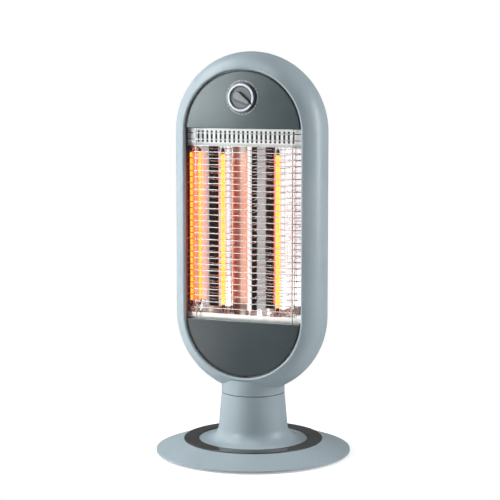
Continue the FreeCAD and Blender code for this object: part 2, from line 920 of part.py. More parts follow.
def front_bezel():
    lip_outer = opening_half_width + shell_wall
    inner_radius = flare_round - shell_wall
    lip_angle = -math.degrees(math.acos((lip_outer - flare_centre[0]) / inner_radius))
    lip_corner = polar(flare_centre, inner_radius, lip_angle)
    shell = round_spine(front_outline() + [
        (opening_half_width, panel_back),
        (lip_outer, panel_back),
        lip_corner,
        (polar(flare_centre, inner_radius, lip_angle / 2), (head_half_width - shell_wall, split_plane))])
    ledge = round_spine([
        (ledge_inner, panel_back),
        (lip_outer, panel_back),
        (lip_outer, panel_back + ledge_thickness),
        (ledge_inner, panel_back + ledge_thickness)])
    reach = head_half_width * 2
    ledge = ledge.cut(block(-reach, reach, -reach, reach,
                            window_bottom - ledge_relief, window_top + ledge_relief))
    envelope = head_envelope()
    bosses = [rod(housing_boss_radius, (x, front_plane, z), (x, split_plane, z)).common(envelope)
              for x, z in housing_points()]
    body = shell.fuse(ledge.Solids + bosses)
    pilot = housing_screw_length - housing_floor + housing_pilot_spare
    holes = [rod(housing_screw_radius + thread_gap, (x, split_plane - pilot, z), (x, split_plane, z))
             for x, z in housing_points()]
    return body.cut(holes + [neck_opening()]).removeSplitter()


def rounded_slot(half_length, width, z, y0, y1):
    half = width / 2
    middle = block(-half_length + half, half_length - half, y0, y1, z - half, z + half)
    ends = [rod(half, (x, y0, z), (x, y1, z)) for x in (half - half_length, half_length - half)]
    return middle.fuse(ends)


def rear_shell():
    inside = rear_round - shell_wall
    shell = round_spine(rear_outline(rear_round) + [(0, back_plane), (0, back_plane - shell_wall)]
                        + reversed_steps(rear_outline(inside)))
    envelope = head_envelope()
    seat = split_plane + housing_floor
    boss_radius = housing_boss_radius + housing_recess_wall
    bosses = [rod(boss_radius, (x, split_plane, z), (x, back_plane, z)).common(envelope)
              for x, z in housing_points()]
    posts = [rod(chassis_boss_radius, (x, chassis_plane + chassis_sheet, z), (x, back_plane - shell_wall, z))
             for x, z in chassis_screw_points()]
    body = shell.fuse(bosses + posts)
    cuts = []
    for x, z in housing_points():
        cuts.append(rod(housing_recess_radius, (x, seat, z), (x, back_plane, z)))
        cuts.append(rod(housing_screw_radius + thread_gap, (x, split_plane, z), (x, seat, z)))
    for x, z in chassis_screw_points():
        cuts.append(rod(screw_head_radius + fit_gap, (x, back_plane - shell_wall, z), (x, back_plane, z)))
        cuts.append(rod(screw_radius + thread_gap, (x, chassis_plane, z), (x, back_plane, z)))
    upper_vent_start = upper_centre - upper_vent_drop
    lower_vent_start = lower_centre - lower_vent_drop
    for start, count in ((upper_vent_start, upper_vent_count), (lower_vent_start, lower_vent_count)):
        for i in range(count):
            cuts.append(rounded_slot(vent_half_length, vent_width, start + i * vent_pitch,
                                     back_plane - shell_wall * 2, back_plane + past_face))
    return body.cut(cuts + [neck_opening()]).removeSplitter()


def housing_screws():
    seat = split_plane + housing_floor
    return group([screw((x, seat, z), FRONT, housing_screw_radius, housing_screw_length,
                        housing_screw_head_radius, housing_screw_head_height) for x, z in housing_points()])


def chassis_screw_points():
    middle = middle_height - chassis_screw_drop
    return [(sign * chassis_screw_x, middle + rise)
            for sign in (-1, 1) for rise in (-chassis_screw_spread, chassis_screw_spread)]


def chassis_screws():
    seat = back_plane - shell_wall
    reach = seat - chassis_plane
    return group([screw((x, seat, z), FRONT, screw_radius, reach, screw_head_radius, screw_head_height)
                  for x, z in chassis_screw_points()])


# Panels

guard_socket_points = [-upright_offset, upright_offset]


def dark_panel(centre_z, edge_z, towards):
    """A panel bounded by the opening's arc and a straight edge beside the window."""
    rise = (edge_z - centre_z) * towards
    half_chord = math.sqrt(panel_radius ** 2 - rise ** 2)
    face = outline([
        (-half_chord, edge_z),
        (half_chord, edge_z),
        ((0, centre_z + towards * panel_radius), (-half_chord, edge_z))],
        lambda x, z: Vector(x, panel_front, z))
    plate = face.extrude(BACK * panel_thickness)
    rim = [edge for edge in plate.Edges if edge.BoundBox.YMax < panel_front + 0.01]
    plate = plate.makeChamfer(panel_bevel, rim)
    rib_outer = ledge_inner - fit_gap
    rib = pipe(rib_outer, rib_outer - panel_rib,
               (0, panel_back, centre_z), (0, panel_back + panel_rib_depth, centre_z))
    reach = head_half_width * 2
    inner_z = edge_z + towards * guard_socket_height
    near, far = sorted((inner_z, inner_z - towards * reach * 2))
    rib = rib.cut(block(-reach, reach, -reach, reach, near, far))
    sockets = []
    for x in guard_socket_points:
        low, high = sorted((edge_z + towards * guard_socket_lip, edge_z + towards * guard_socket_height))
        sockets.append(block(x - guard_socket_width / 2, x + guard_socket_width / 2,
                             panel_back, panel_back + guard_socket_depth, low, high))
    body = plate.fuse([rib] + sockets)
    holes = []
    for x in guard_socket_points:
        low, high = sorted((edge_z, edge_z + towards * (guard_socket_height - guard_socket_floor)))
        holes.append(rod(guard_upright_radius + fit_gap / 2,
                         (x, upright_plane, low), (x, upright_plane, high)))
    return body.cut(holes)


def upper_panel():
    panel = dark_panel(upper_centre, window_top, 1)
    hole = rod(bush_radius + thread_gap, (0, panel_front, knob_height), (0, panel_back, knob_height))
    return panel.cut(hole)


def lower_panel():
    return dark_panel(lower_centre, window_bottom, -1)


# Reflector, strips and tubes

def trough_points():
    """Section of one trough from its outer edge, round the vertex behind the tube, to the middle crest."""
    outer_run = trough_half_width - tube_x
    wall_rise = trough_vertex - strip_back
    points = []
    for i in range(trough_steps, 0, -1):
        u = i / trough_steps
        rise = wall_rise * (u ** 2 * (1 - wall_share) + wall_share * u ** wall_power)
        points.append((tube_x + u * outer_run, trough_vertex - rise))
    for i in range(trough_steps + 1):
        u = i / trough_steps
        rise = crest_rise * (1 - math.cos(math.pi * u ** crest_sharpness)) / 2
        points.append((tube_x - u * tube_x, trough_vertex - rise))
    return points


def reflector():
    """Two mirrored troughs that meet in a rounded crest, with a flange and a forward lip at each side."""
    def trough_line(shift):
        lip = liner_inner + shift
        edge = strip_back + shift
        edges = []
        for side in (-1, 1):
            rim = [Vector(side * lip, lip_front, trough_bottom),
                   Vector(side * lip, edge, trough_bottom),
                   Vector(side * trough_half_width, edge, trough_bottom)]
            edges.extend(Part.makePolygon(rim).Edges)
            curve = Part.BSplineCurve()
            curve.interpolate([Vector(side * x, y + shift, trough_bottom) for x, y in trough_points()])
            edges.append(curve.toShape())
        return edges

    ends = [Part.LineSegment(Vector(side * liner_inner, lip_front, trough_bottom),
                             Vector(side * (liner_inner + sheet), lip_front, trough_bottom)).toShape()
            for side in (-1, 1)]
    rim = Part.Wire(Part.__sortEdges__(trough_line(0) + trough_line(sheet) + ends))
    return Part.Face(rim).extrude(UP * (trough_top - trough_bottom))


def end_plate(level):
    plate = block(-end_plate_half_width, end_plate_half_width, strip_back, chassis_plane,
                  level, level + strip_thickness)
    holes = [rod(cap_radius + fit_gap, (x, tube_y, level), (x, tube_y, level + strip_thickness))
             for x in (-tube_x, tube_x)]
    holes.append(block(-lead_notch, lead_notch, chassis_plane - lead_notch_depth, chassis_plane,
                       level, level + strip_thickness))
    return plate.cut(holes)


def upper_end_plate():
    return end_plate(trough_top)


def lower_end_plate():
    return end_plate(trough_bottom - strip_thickness)


def vent_strip():
    plate = block(-liner_inner, liner_inner, strip_front, strip_back, trough_top, window_top - fit_gap)
    tuck = block(-ledge_inner + fit_gap, ledge_inner - fit_gap, strip_front, strip_back,
                 window_top - fit_gap, window_top + strip_tuck)
    plate = plate.fuse(tuck).removeSplitter()
    slots = []
    low = trough_top + slot_rise + slot_width / 2
    high = low + slot_height - slot_width
    for i in range(slot_count):
        x = (i - (slot_count - 1) / 2) * slot_pitch
        slots.append(block(x - slot_width / 2, x + slot_width / 2, strip_front, strip_back, low, high))
        slots.extend(rod(slot_width / 2, (x, strip_front, z), (x, strip_back, z)) for z in (low, high))
    return plate.cut(slots)


def sill_strip():
    wide = block(-liner_inner, liner_inner, strip_front, strip_back, window_bottom + fit_gap, sill_top)
    tuck = block(-ledge_inner + fit_gap, ledge_inner - fit_gap, strip_front, strip_back,
                 window_bottom - sill_depth_below, window_bottom + fit_gap)
    return wide.fuse(tuck).removeSplitter()


def window_liners():
    def liner(side):
        inner, outer = sorted((side * liner_inner, side * (liner_inner + liner_thickness)))
        front = panel_back + fit_gap
        wall = block(inner, outer, front, lip_front, window_bottom + fit_gap, window_top - fit_gap)
        cheek = block(inner, outer, front, strip_back, trough_top, window_top - fit_gap)
        return wall.fuse(cheek).removeSplitter()
    return group([liner(-1), liner(1)])


def tube_caps(level, towards):
    """Ceramic caps that hold the tube ends outside an end plate; level is the trough side of the plate."""
    caps = []
    for x in (-tube_x, tube_x):
        def at(distance):
            return (x, tube_y, level + towards * distance)
        cap = rod(cap_radius, at(0), at(cap_length))
        flange = rod(cap_flange_radius, at(strip_thickness), at(strip_thickness + cap_flange))
        bore = rod(tube_radius + thread_gap, at(0), at(cap_bore_depth))
        lead_hole = rod(lead_radius + fit_gap, at(cap_bore_depth), at(cap_length))
        caps.append(cap.fuse(flange).cut([bore, lead_hole]).removeSplitter())
    return group(caps)


def upper_tube_caps():
    return tube_caps(trough_top, 1)


def lower_tube_caps():
    return tube_caps(trough_bottom, -1)


tube_low = trough_bottom - cap_bore_depth + fit_gap
tube_high = trough_top + cap_bore_depth - fit_gap


def quartz_tube(x):
    body = rod(tube_radius, (x, tube_y, tube_low), (x, tube_y, tube_high))
    hollow = rod(tube_radius - tube_wall,
                 (x, tube_y, tube_low + tube_plug), (x, tube_y, tube_high - tube_plug))
    lead_hole = rod(rod_radius + thread_gap, (x, tube_y, tube_low), (x, tube_y, tube_high))
    return body.cut([hollow, lead_hole])


def quartz_tube_left():
    return quartz_tube(-tube_x)


def quartz_tube_right():
    return quartz_tube(tube_x)


def carbon_filament(x):
    low = trough_bottom + filament_clearance + clamp_length
    high = trough_top - filament_clearance
    ribbon = block(x - filament_width / 2, x + filament_width / 2,
                   tube_y - filament_thickness / 2, tube_y + filament_thickness / 2, low, high)
    clamps = [rod(clamp_radius, (x, tube_y, low - clamp_length), (x, tube_y, low + clamp_grip)),
              rod(clamp_radius, (x, tube_y, high - clamp_grip), (x, tube_y, high + clamp_length))]
    lead = rod(rod_radius, (x, tube_y, tube_low - filament_tail), (x, tube_y, tube_high + filament_tail))
    return ribbon.fuse(clamps + [lead]).removeSplitter()


def carbon_filament_left():
    return carbon_filament(-tube_x)


def carbon_filament_right():
    return carbon_filament(tube_x)


def wire_guard():
    end_x = liner_inner - fit_gap - guard_wire_radius / 2
    bend_x = opening_half_width - guard_bend_inset
    bent = guard_plane + guard_bend_depth
    wires = []
    for i in range(guard_count):
        z = guard_top - i * guard_pitch
        wires.append(wire_along([
            (-end_x, bent, z),
            (-bend_x, guard_plane, z),
            (bend_x, guard_plane, z),
            (end_x, bent, z)], guard_wire_radius, guard_bend_round))
    overhang = guard_socket_height - guard_socket_floor - guard_end_air
    for x in guard_socket_points:
        wires.append(rod(guard_upright_radius, (x, upright_plane, window_bottom - overhang),
                         (x, upright_plane, window_top + overhang)))
    return wires[0].multiFuse(wires[1:])


# Chassis and wiring

def chassis():
    foot = rod(spigot_radius - fit_gap, (0, 0, foot_plate_bottom), (0, 0, foot_plate_top))
    upright = block(-chassis_half_width, chassis_half_width, chassis_plane, chassis_plane + chassis_sheet,
                    foot_plate_bottom, trough_top + chassis_top_rise)
    behind = block(-base_radius, base_radius, chassis_plane + chassis_sheet, base_radius,
                   foot_plate_bottom, foot_plate_top)
    body = foot.cut(behind).fuse(upright)
    holes = [rod(foot_hole_radius, (0, 0, foot_plate_bottom), (0, 0, foot_plate_top)),
             rod(motor_boss_radius + fit_gap, (drive_distance, 0, foot_plate_bottom),
                 (drive_distance, 0, foot_plate_top))]
    holes.extend(rod(screw_radius + thread_gap, (x, y, foot_plate_bottom), (x, y, foot_plate_top))
                 for x, y in collar_boss_points + motor_ear_points())
    holes.extend(rod(screw_radius + thread_gap, (x, chassis_plane, z), (x, chassis_plane + chassis_sheet, z))
                 for x, z in chassis_screw_points())
    return body.cut(holes).removeSplitter()


head_block_y = chassis_plane - block_width / 2
head_block_z = foot_plate_top + motor_height + head_block_air


def head_terminal_block():
    return terminal_block(0, head_block_y, head_block_z)


def lamp_leads():
    """One lead from each tube's top to the rotary switch, and one from its foot to the terminal block."""
    control_rear = control_back + fit_gap
    block_end = block_length / 2 + fit_gap
    block_middle = head_block_z + block_height / 2
    top = tube_high + filament_tail + fit_gap
    foot = tube_low - filament_tail - fit_gap
    leads = []
    for side in (-1, 1):
        pole = side * switch_pole_x
        leads.append(wire_along([
            (side * tube_x, tube_y, top),
            (side * tube_x, tube_y, tube_high + lamp_stub),
            (side * (tube_x + switch_pole_x) / 2, tube_y + lead_pull, tube_high + lamp_rise),
            (pole, control_rear + lead_stub, knob_height),
            (pole, control_rear, knob_height)], lead_radius))
        leads.append(wire_along([
            (side * tube_x, tube_y, foot),
            (side * tube_x, tube_y, tube_low - lamp_drop),
            (side * tube_x, tube_y + lead_pull, block_middle),
            (side * (block_end + lead_stub), head_block_y, block_middle),
            (side * block_end, head_block_y, block_middle)], lead_radius))
    return group(leads)


def supply_leads():
    control_rear = control_back + fit_gap
    pole_z = knob_height - switch_pole_drop
    lower = wire_along([
        (0, 0, pivot_top + fit_gap),
        (0, 0, foot_plate_top + lead_stub),
        (0, head_block_y, foot_plate_top + supply_sweep),
        (0, head_block_y, head_block_z - fit_gap)], supply_radius)
    block_top = head_block_z + block_height
    climb_y = chassis_plane - lead_notch
    upper = wire_along([
        (0, head_block_y, block_top + fit_gap),
        (0, head_block_y, block_top + lead_stub),
        (0, climb_y, block_top + supply_sweep),
        (0, climb_y, trough_top + supply_sweep),
        (0, control_rear + lead_pull, pole_z),
        (0, control_rear, pole_z)], supply_radius)
    return group([lower, upper])


def thermal_cutout():
    top = trough_top + strip_thickness
    can = rod(cutout_radius, (cutout_x, cutout_y, top), (cutout_x, cutout_y, top + cutout_height))
    foot = top + cutout_height
    blades = []
    for side in (-1, 1):
        x = cutout_x + side * cutout_blade_pitch / 2
        blades.append(block(x - cutout_blade_width / 2, x + cutout_blade_width / 2,
                            cutout_y - blade_thickness / 2, cutout_y + blade_thickness / 2,
                            foot, foot + blade_length))
    return can.fuse(blades)


# Control knob

def rotary_switch():
    half = control_body / 2
    body = block(-half, half, panel_back, control_back, knob_height - half, knob_height + half)
    uprights = [edge for edge in body.Edges if edge.BoundBox.YLength > control_depth - 1]
    body = body.makeFillet(control_round, uprights)
    bush_front = knob_back + fit_gap - bush_nut_thickness
    bush = rod(bush_radius, (0, bush_front, knob_height), (0, panel_back, knob_height))
    bore = rod(control_shaft_radius + running_gap, (0, front_plane * 2, knob_height),
               (0, panel_back + control_shaft_depth, knob_height))
    return body.fuse(bush).cut(bore).removeSplitter()


def switch_nut():
    nut = hexagon(bush_nut_width, 0, bush_nut_thickness)
    nut.rotate(Vector(0, 0, 0), Vector(1, 0, 0), 90)
    nut.translate(Vector(0, panel_front, knob_height))
    return nut.cut(rod(bush_radius, (0, front_plane * 2, knob_height), (0, panel_back, knob_height)))


def turn_knob(shape):
    shape.rotate(Vector(0, 0, knob_height), BACK, knob_turn)
    return shape


def grip_blank(start_y, end_y):
    """The teardrop grip, pointing up before the knob is turned."""
    tip_z = knob_radius - grip_tip_inset - grip_tip_radius
    tail_z = -grip_tail_offset
    tail = grip_tail_radius
    tip = grip_tip_radius
    lean = math.degrees(math.asin((tail - tip) / (tip_z - tail_z)))
    right_tail = polar((0, tail_z), tail, lean)
    right_tip = polar((0, tip_z), tip, lean)
    face = outline([
        right_tail,
        right_tip,
        ((0, tip_z + tip), (-right_tip[0], right_tip[1])),
        (-right_tail[0], right_tail[1]),
        ((0, tail_z - tail), right_tail)],
        lambda x, z: Vector(x, start_y, knob_height + z))
    return face.extrude(Vector(0, end_y - start_y, 0))


def control_knob():
    disc = rod(knob_radius - trim_width, (0, knob_face, knob_height), (0, knob_back, knob_height))
    skirt = rod(knob_radius, (0, knob_face - trim_rise + trim_depth, knob_height),
                (0, knob_back, knob_height))
    dish = rod(knob_radius - trim_width - knob_dish_wall,
               (0, knob_face, knob_height), (0, knob_face + knob_dish, knob_height))
    front = knob_face - grip_height
    grip = grip_blank(knob_face + knob_dish, front)
    grip = grip.makeFillet(grip_round, [edge for edge in grip.Edges if edge.BoundBox.YMax < front + 0.01])
    nut_front = panel_front - bush_nut_thickness - fit_gap - knob_air
    nut_room = rod(bush_nut_width / math.sqrt(3) + fit_gap,
                   (0, nut_front, knob_height), (0, knob_back, knob_height))
    hub = rod(control_shaft_radius, (0, knob_face - shaft_into_grip, knob_height),
              (0, knob_back, knob_height))
    return turn_knob(disc.fuse(skirt).cut(dish).fuse(grip).cut([nut_room, hub]).removeSplitter())


def knob_trim_ring():
    inner = knob_radius - trim_width
    front = knob_face - trim_rise
    ring = pipe(knob_radius, inner, (0, front, knob_height), (0, front + trim_depth, knob_height))
    edges = [edge for edge in ring.Edges if edge.BoundBox.YMax < front + 0.01]
    ring = ring.makeFillet(trim_round, edges)
    return turn_knob(ring.cut(grip_blank(knob_face + knob_dish, front - grip_height)))


def switch_shaft():
    return rod(control_shaft_radius, (0, knob_face - shaft_into_grip, knob_height),
               (0, panel_back + control_shaft_depth - fit_gap, knob_height))


pieces = [
    base_dish, base_ring, bottom_cover, base_weight, rubber_feet, cover_screws, pedestal_screws, pedestal,
    cord_grommet, tilt_plunger, tilt_switch, base_terminal_block, base_leads,
    pivot_tube, pivot_screws, swivel_bearing, thrust_washer, fixed_gear, retaining_nut,
    drive_pinion, motor_shaft, oscillation_motor, motor_screws, neck_collar, collar_screws,
    front_bezel, rear_shell, housing_screws, chassis_screws, upper_panel, lower_panel,
    reflector, upper_end_plate, lower_end_plate, vent_strip, sill_strip, window_liners,
    upper_tube_caps, lower_tube_caps, quartz_tube_left, quartz_tube_right,
    carbon_filament_left, carbon_filament_right, wire_guard,
    chassis, head_terminal_block, lamp_leads, supply_leads, thermal_cutout,
    rotary_switch, switch_nut, control_knob, knob_trim_ring, switch_shaft]

os.makedirs("parts", exist_ok=True)
for piece in pieces:
    shape = piece()
    count = len(shape.Solids)
    state = "valid" if shape.isValid() else "NOT VALID"
    print(piece.__name__, count, "solids", round(shape.Volume), "mm3", state)
    shape.exportStep(os.path.join("parts", piece.__name__ + ".step"))
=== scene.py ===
# %% [markdown]
# # A twin-tube carbon heater
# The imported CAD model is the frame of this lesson. It brings every rigid part of the heater in
# its real place, in metres: the round foot, the swivel neck, the pill-shaped head with its
# window, the mirror, the tubes and the guard. Blender adds what CAD leaves plain, which is the
# finish of every surface, the glowing spirals in the tubes, the printed dial and the studio.

# %% Load the frame
import json
import math

import bpy
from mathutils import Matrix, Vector


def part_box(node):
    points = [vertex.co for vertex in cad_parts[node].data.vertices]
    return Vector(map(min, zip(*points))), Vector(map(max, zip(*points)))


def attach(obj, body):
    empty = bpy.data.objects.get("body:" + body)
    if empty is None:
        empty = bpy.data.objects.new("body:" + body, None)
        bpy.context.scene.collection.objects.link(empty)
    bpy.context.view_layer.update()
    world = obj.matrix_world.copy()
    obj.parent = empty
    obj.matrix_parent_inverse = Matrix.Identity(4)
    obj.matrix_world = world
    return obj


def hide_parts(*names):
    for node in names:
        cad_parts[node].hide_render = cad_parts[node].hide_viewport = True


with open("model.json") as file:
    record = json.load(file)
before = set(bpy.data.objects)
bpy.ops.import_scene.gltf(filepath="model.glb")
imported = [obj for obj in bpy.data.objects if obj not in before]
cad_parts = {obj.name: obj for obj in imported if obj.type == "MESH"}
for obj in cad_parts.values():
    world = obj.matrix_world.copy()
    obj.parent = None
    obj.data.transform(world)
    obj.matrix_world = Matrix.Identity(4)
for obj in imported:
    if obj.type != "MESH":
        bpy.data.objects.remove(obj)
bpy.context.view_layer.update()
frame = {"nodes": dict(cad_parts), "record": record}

nodes = frame["nodes"]
MM = 0.001

# %% [markdown]
# ## The camera
# The photograph was taken from a little above and from the right of the window, with a long
# lens, so upright lines stay nearly parallel. The camera stands at that place. Its lens is set
# from the photograph's field of view, and it is turned by two angles instead of being pointed
# with a constraint, because fixed numbers give the same framing on every run.

# %% Camera
CAMERA_PLACE = (0.8403, -2.0861, 0.5551)
YAW = math.radians(21.94)
PITCH = math.radians(6.74)
SENSOR_WIDTH = 36.0
LENS = 115.2
SHIFT_X = -0.0064
camera_data = bpy.data.cameras.new("photo_camera")
camera_data.sensor_width = SENSOR_WIDTH
camera_data.lens = LENS
camera_data.shift_x = SHIFT_X
camera = bpy.data.objects.new("photo_camera", camera_data)
camera.location = CAMERA_PLACE
camera.rotation_euler = (math.pi / 2 - PITCH, 0.0, YAW)
bpy.context.collection.objects.link(camera)
bpy.context.scene.camera = camera
print("camera at", CAMERA_PLACE, "lens", LENS)

# %% [markdown]
# ## The studio
# The heater stands in front of white paper. A photographer lights a mirror by what it reflects:
# white card at its sides and a dark room behind the camera, which is why each trough of the
# reflector shows a dark band beside its tube. One room for everything would leave either the
# grey mouldings too dark or the mirror too pale, so the world holds two rings of grey round the
# heater. Matt surfaces are lit by the soft one. Mirrors, gloss and glass see the other, with its
# dark stretch. The camera itself sees plain white paper.


# %% Helpers for node trees
def add_node(tree, kind, **settings):
    """Adds a node and sets its properties by name."""
    node = tree.nodes.new(kind)
    for name, value in settings.items():
        setattr(node, name, value)
    return node


def feed(tree, value, socket):
    """Gives an input its value: a number or colour, or a link from another socket."""
    if isinstance(value, (int, float, tuple)):
        socket.default_value = value
    else:
        tree.links.new(value, socket)


def math_node(tree, operation, *values):
    """A Math node fed by sockets or plain numbers; gives its output socket."""
    node = add_node(tree, "ShaderNodeMath", operation=operation)
    for value, socket in zip(values, node.inputs):
        feed(tree, value, socket)
    return node.outputs[0]


def between(tree, value, start, end, low, high):
    """Runs smoothly from low at start to high at end."""
    node = add_node(tree, "ShaderNodeMapRange", interpolation_type="SMOOTHSTEP")
    for socket, number in zip(node.inputs[1:5], (start, end, low, high)):
        socket.default_value = number
    tree.links.new(value, node.inputs["Value"])
    return node.outputs[0]


def grey(level):
    """A plain grey of that level."""
    return (level, level, level)


def ramp_node(tree, factor, stops):
    """A colour ramp from (position, colour) stops; gives its colour socket."""
    node = add_node(tree, "ShaderNodeValToRGB")
    elements = node.color_ramp.elements
    while len(elements) < len(stops):
        elements.new(0.5)
    for element, (position, colour) in zip(elements, stops):
        element.position = position
        element.color = (*colour, 1.0)
    tree.links.new(factor, node.inputs[0])
    return node.outputs[0]


def mix_shaders(tree, factor, first, second):
    """Mixes two shaders by a factor, which is a socket or a number; gives the mixed shader."""
    node = add_node(tree, "ShaderNodeMixShader")
    for value, socket in zip((factor, first, second), node.inputs):
        feed(tree, value, socket)
    return node.outputs[0]


print("a middle grey is", grey(0.5))

# %% World
MIRROR_STRENGTH = 1.42
PAPER_WHITE = (1.0, 1.0, 1.0, 1.0)
world = bpy.data.worlds.new("studio")
bpy.context.scene.world = world
world.use_nodes = True
sky = world.node_tree
sky.nodes.clear()
axes = add_node(sky, "ShaderNodeSeparateXYZ")
sky.links.new(add_node(sky, "ShaderNodeTexCoord").outputs["Generated"], axes.inputs[0])
front = math_node(sky, "MULTIPLY", axes.outputs["Y"], -1.0)
azimuth = math_node(sky, "ARCTAN2", axes.outputs["X"], front)
turn_share = math_node(sky, "ADD", math_node(sky, "DIVIDE", azimuth, math.tau), 0.5)


def room(stops):
    """A ring of greys from (degrees, level) stops: the window faces 0, and +X lies at 90."""
    places = [(degrees / 360.0 + 0.5, grey(level)) for degrees, level in stops]
    return ramp_node(sky, turn_share, places)


def background(colour, strength=1.0):
    """A Background shader from a colour or a colour socket."""
    node = add_node(sky, "ShaderNodeBackground")
    feed(sky, colour, node.inputs["Color"])
    node.inputs["Strength"].default_value = strength
    return node.outputs[0]


mirror_room = room([
    (-180, 0.21), (-172, 0.11), (-142, 0.11), (-125, 0.30), (-92, 0.90), (-40, 1.0),
    (-26, 0.82), (-10, 0.64), (6, 0.60), (8, 0.012), (50, 0.012), (52, 0.36),
    (72, 0.41), (77, 0.86), (110, 0.72), (130, 0.30), (180, 0.21)])
soft_room = room([
    (-180, 0.45), (-122, 0.45), (-116, 0.03), (-93, 0.03), (-87, 0.21), (-63, 0.21),
    (-57, 0.03), (27, 0.03), (33, 0.48), (57, 0.48), (63, 0.35), (87, 0.35),
    (93, 0.44), (180, 0.45)])
rays = add_node(sky, "ShaderNodeLightPath").outputs
mirror_ray = math_node(sky, "MAXIMUM", rays["Is Glossy Ray"], rays["Is Transmission Ray"])
lit = mix_shaders(sky, mirror_ray, background(soft_room),
                  background(mirror_room, MIRROR_STRENGTH))
seen = mix_shaders(sky, rays["Is Camera Ray"], lit, background(PAPER_WHITE))
sky.links.new(seen, add_node(sky, "ShaderNodeOutputWorld").inputs["Surface"])
print("world nodes:", len(sky.nodes))

# %% [markdown]
# ## The floor
# A photographer sweeps paper up behind the object, so that no edge shows. A curved sheet could
# be modelled, but a flat disc is enough here, because its paint fades to pure white away from
# the heater and meets the white world without a line. Close to the heater the paint is matt, so
# it keeps the soft shadow, and a little light of its own brings it near to the paper's white.
# The floor is hidden from mirrors and gloss, which see the room instead.

# %% Floor
FLOOR_RADIUS = 1.5
FLOOR_COLOUR = (0.82, 0.82, 0.82, 1.0)
FLOOR_LIFT = 0.42
FADE_START, FADE_END = 0.16, 0.42


def deselect_all():
    """Leaves nothing selected, because an operator acts on all that is selected."""
    bpy.ops.object.select_all(action="DESELECT")


deselect_all()
bpy.ops.mesh.primitive_circle_add(vertices=96, radius=FLOOR_RADIUS, fill_type="NGON",
                                  location=(0, 0, 0))
floor = bpy.context.object
floor.name = "studio_floor"
floor_paint = bpy.data.materials.new("studio_floor")
floor_paint.use_nodes = True
tree = floor_paint.node_tree
tree.nodes.clear()
matt = add_node(tree, "ShaderNodeBsdfDiffuse")
matt.inputs["Color"].default_value = FLOOR_COLOUR
looks = add_node(tree, "ShaderNodeLightPath").outputs
direct = math_node(tree, "MAXIMUM", looks["Is Camera Ray"], looks["Is Glossy Ray"])
direct = math_node(tree, "MAXIMUM", direct, looks["Is Transmission Ray"])
lift = add_node(tree, "ShaderNodeEmission")
tree.links.new(math_node(tree, "MULTIPLY", direct, FLOOR_LIFT), lift.inputs["Strength"])
near = add_node(tree, "ShaderNodeAddShader")
tree.links.new(matt.outputs[0], near.inputs[0])
tree.links.new(lift.outputs[0], near.inputs[1])
distance = add_node(tree, "ShaderNodeVectorMath", operation="LENGTH")
tree.links.new(add_node(tree, "ShaderNodeTexCoord").outputs["Object"], distance.inputs[0])
away = between(tree, distance.outputs["Value"], FADE_START, FADE_END, 0.0, 1.0)
away = math_node(tree, "MULTIPLY", away, looks["Is Camera Ray"])
paper = add_node(tree, "ShaderNodeEmission")
faded = mix_shaders(tree, away, near.outputs[0], paper.outputs[0])
tree.links.new(faded, add_node(tree, "ShaderNodeOutputMaterial").inputs["Surface"])
floor.data.materials.append(floor_paint)
floor.visible_glossy = False
print("floor radius:", FLOOR_RADIUS)

# %% [markdown]
# ## The lamps
# Soft boxes at the left, at the right edge and overhead give the mouldings their long, even
# gradients. A sun lamp would be simpler, but it draws hard shadows. The mirror would show the
# two large boxes at the left as white slabs, so these are hidden from mirrors, gloss and glass.
# Two cards do the opposite and light nothing that is matt: one gives the upper panel its pale
# sheen, and one lies on the floor for the gloss that looks down.


# %% Soft boxes
def soft_box(name, place, aim, width, height, watts):
    """A rectangular area lamp at place, turned to face aim."""
    data = bpy.data.lights.new(name, "AREA")
    data.shape = "RECTANGLE"
    data.size = width
    data.size_y = height
    data.energy = watts
    lamp = bpy.data.objects.new(name, data)
    lamp.location = place
    lamp.rotation_euler = (Vector(aim) - Vector(place)).to_track_quat("-Z", "Y").to_euler()
    lamp.visible_camera = False
    bpy.context.collection.objects.link(lamp)
    return lamp


HEATER_MIDDLE = (0.0, 0.0, 0.30)
PANEL_MIDDLE = (0.0, -0.04, 0.54)
ABOVE_CARD = (-0.72, -0.98, 1.0)
CARD_TURN = math.radians(-22.0)
side_box = soft_box("side_box", (-1.10, -0.15, 0.50), HEATER_MIDDLE, 0.7, 1.2, 7.9)
key_box = soft_box("key_box", (-0.95, -0.55, 0.55), HEATER_MIDDLE, 0.9, 1.2, 9.1)
soft_box("rim_box", (1.10, 0.25, 0.60), HEATER_MIDDLE, 0.35, 0.8, 6.3)
soft_box("front_top_box", (0.0, -0.80, 1.90), HEATER_MIDDLE, 0.7, 0.7, 6.2)
soft_box("left_top_box", (-1.00, -0.20, 1.50), HEATER_MIDDLE, 0.8, 0.8, 7.2)
panel_card = soft_box("panel_card", (-0.63, -0.87, 0.54), PANEL_MIDDLE, 0.5, 0.28, 5.4)
floor_card = soft_box("floor_card", (-0.72, -0.98, 0.004), ABOVE_CARD, 0.5, 1.2, 6.8)
floor_card.rotation_euler.z = CARD_TURN
panel_card.data.color = (0.88, 1.0, 1.0)
floor_card.data.color = (1.0, 0.93, 0.88)
for card in (panel_card, floor_card):
    card.visible_diffuse = False
for lamp in (side_box, key_box):
    lamp.visible_glossy = False
    lamp.visible_transmission = False

# %% [markdown]
# ## Finishes
# Most of the heater is moulded plastic in a satin bluish grey. Real mouldings are never one flat
# colour: a fine spark-eroded grain breaks up the highlight, and the gloss drifts a little over
# the surface. Each finish here is a Principled shader whose colour, roughness and bump come from
# noise on Object coordinates. The numbers that stay the same all over sit on the shader itself.

# %% Noise on a piece
NOISE_LOW, NOISE_HIGH = 0.3, 0.7
DRIFT_LOW, DRIFT_HIGH = 0.35, 0.65
RELIEF_DEPTH = 0.4 * MM


def place_on(tree):
    """The piece's own coordinates, in metres."""
    return add_node(tree, "ShaderNodeTexCoord").outputs["Object"]


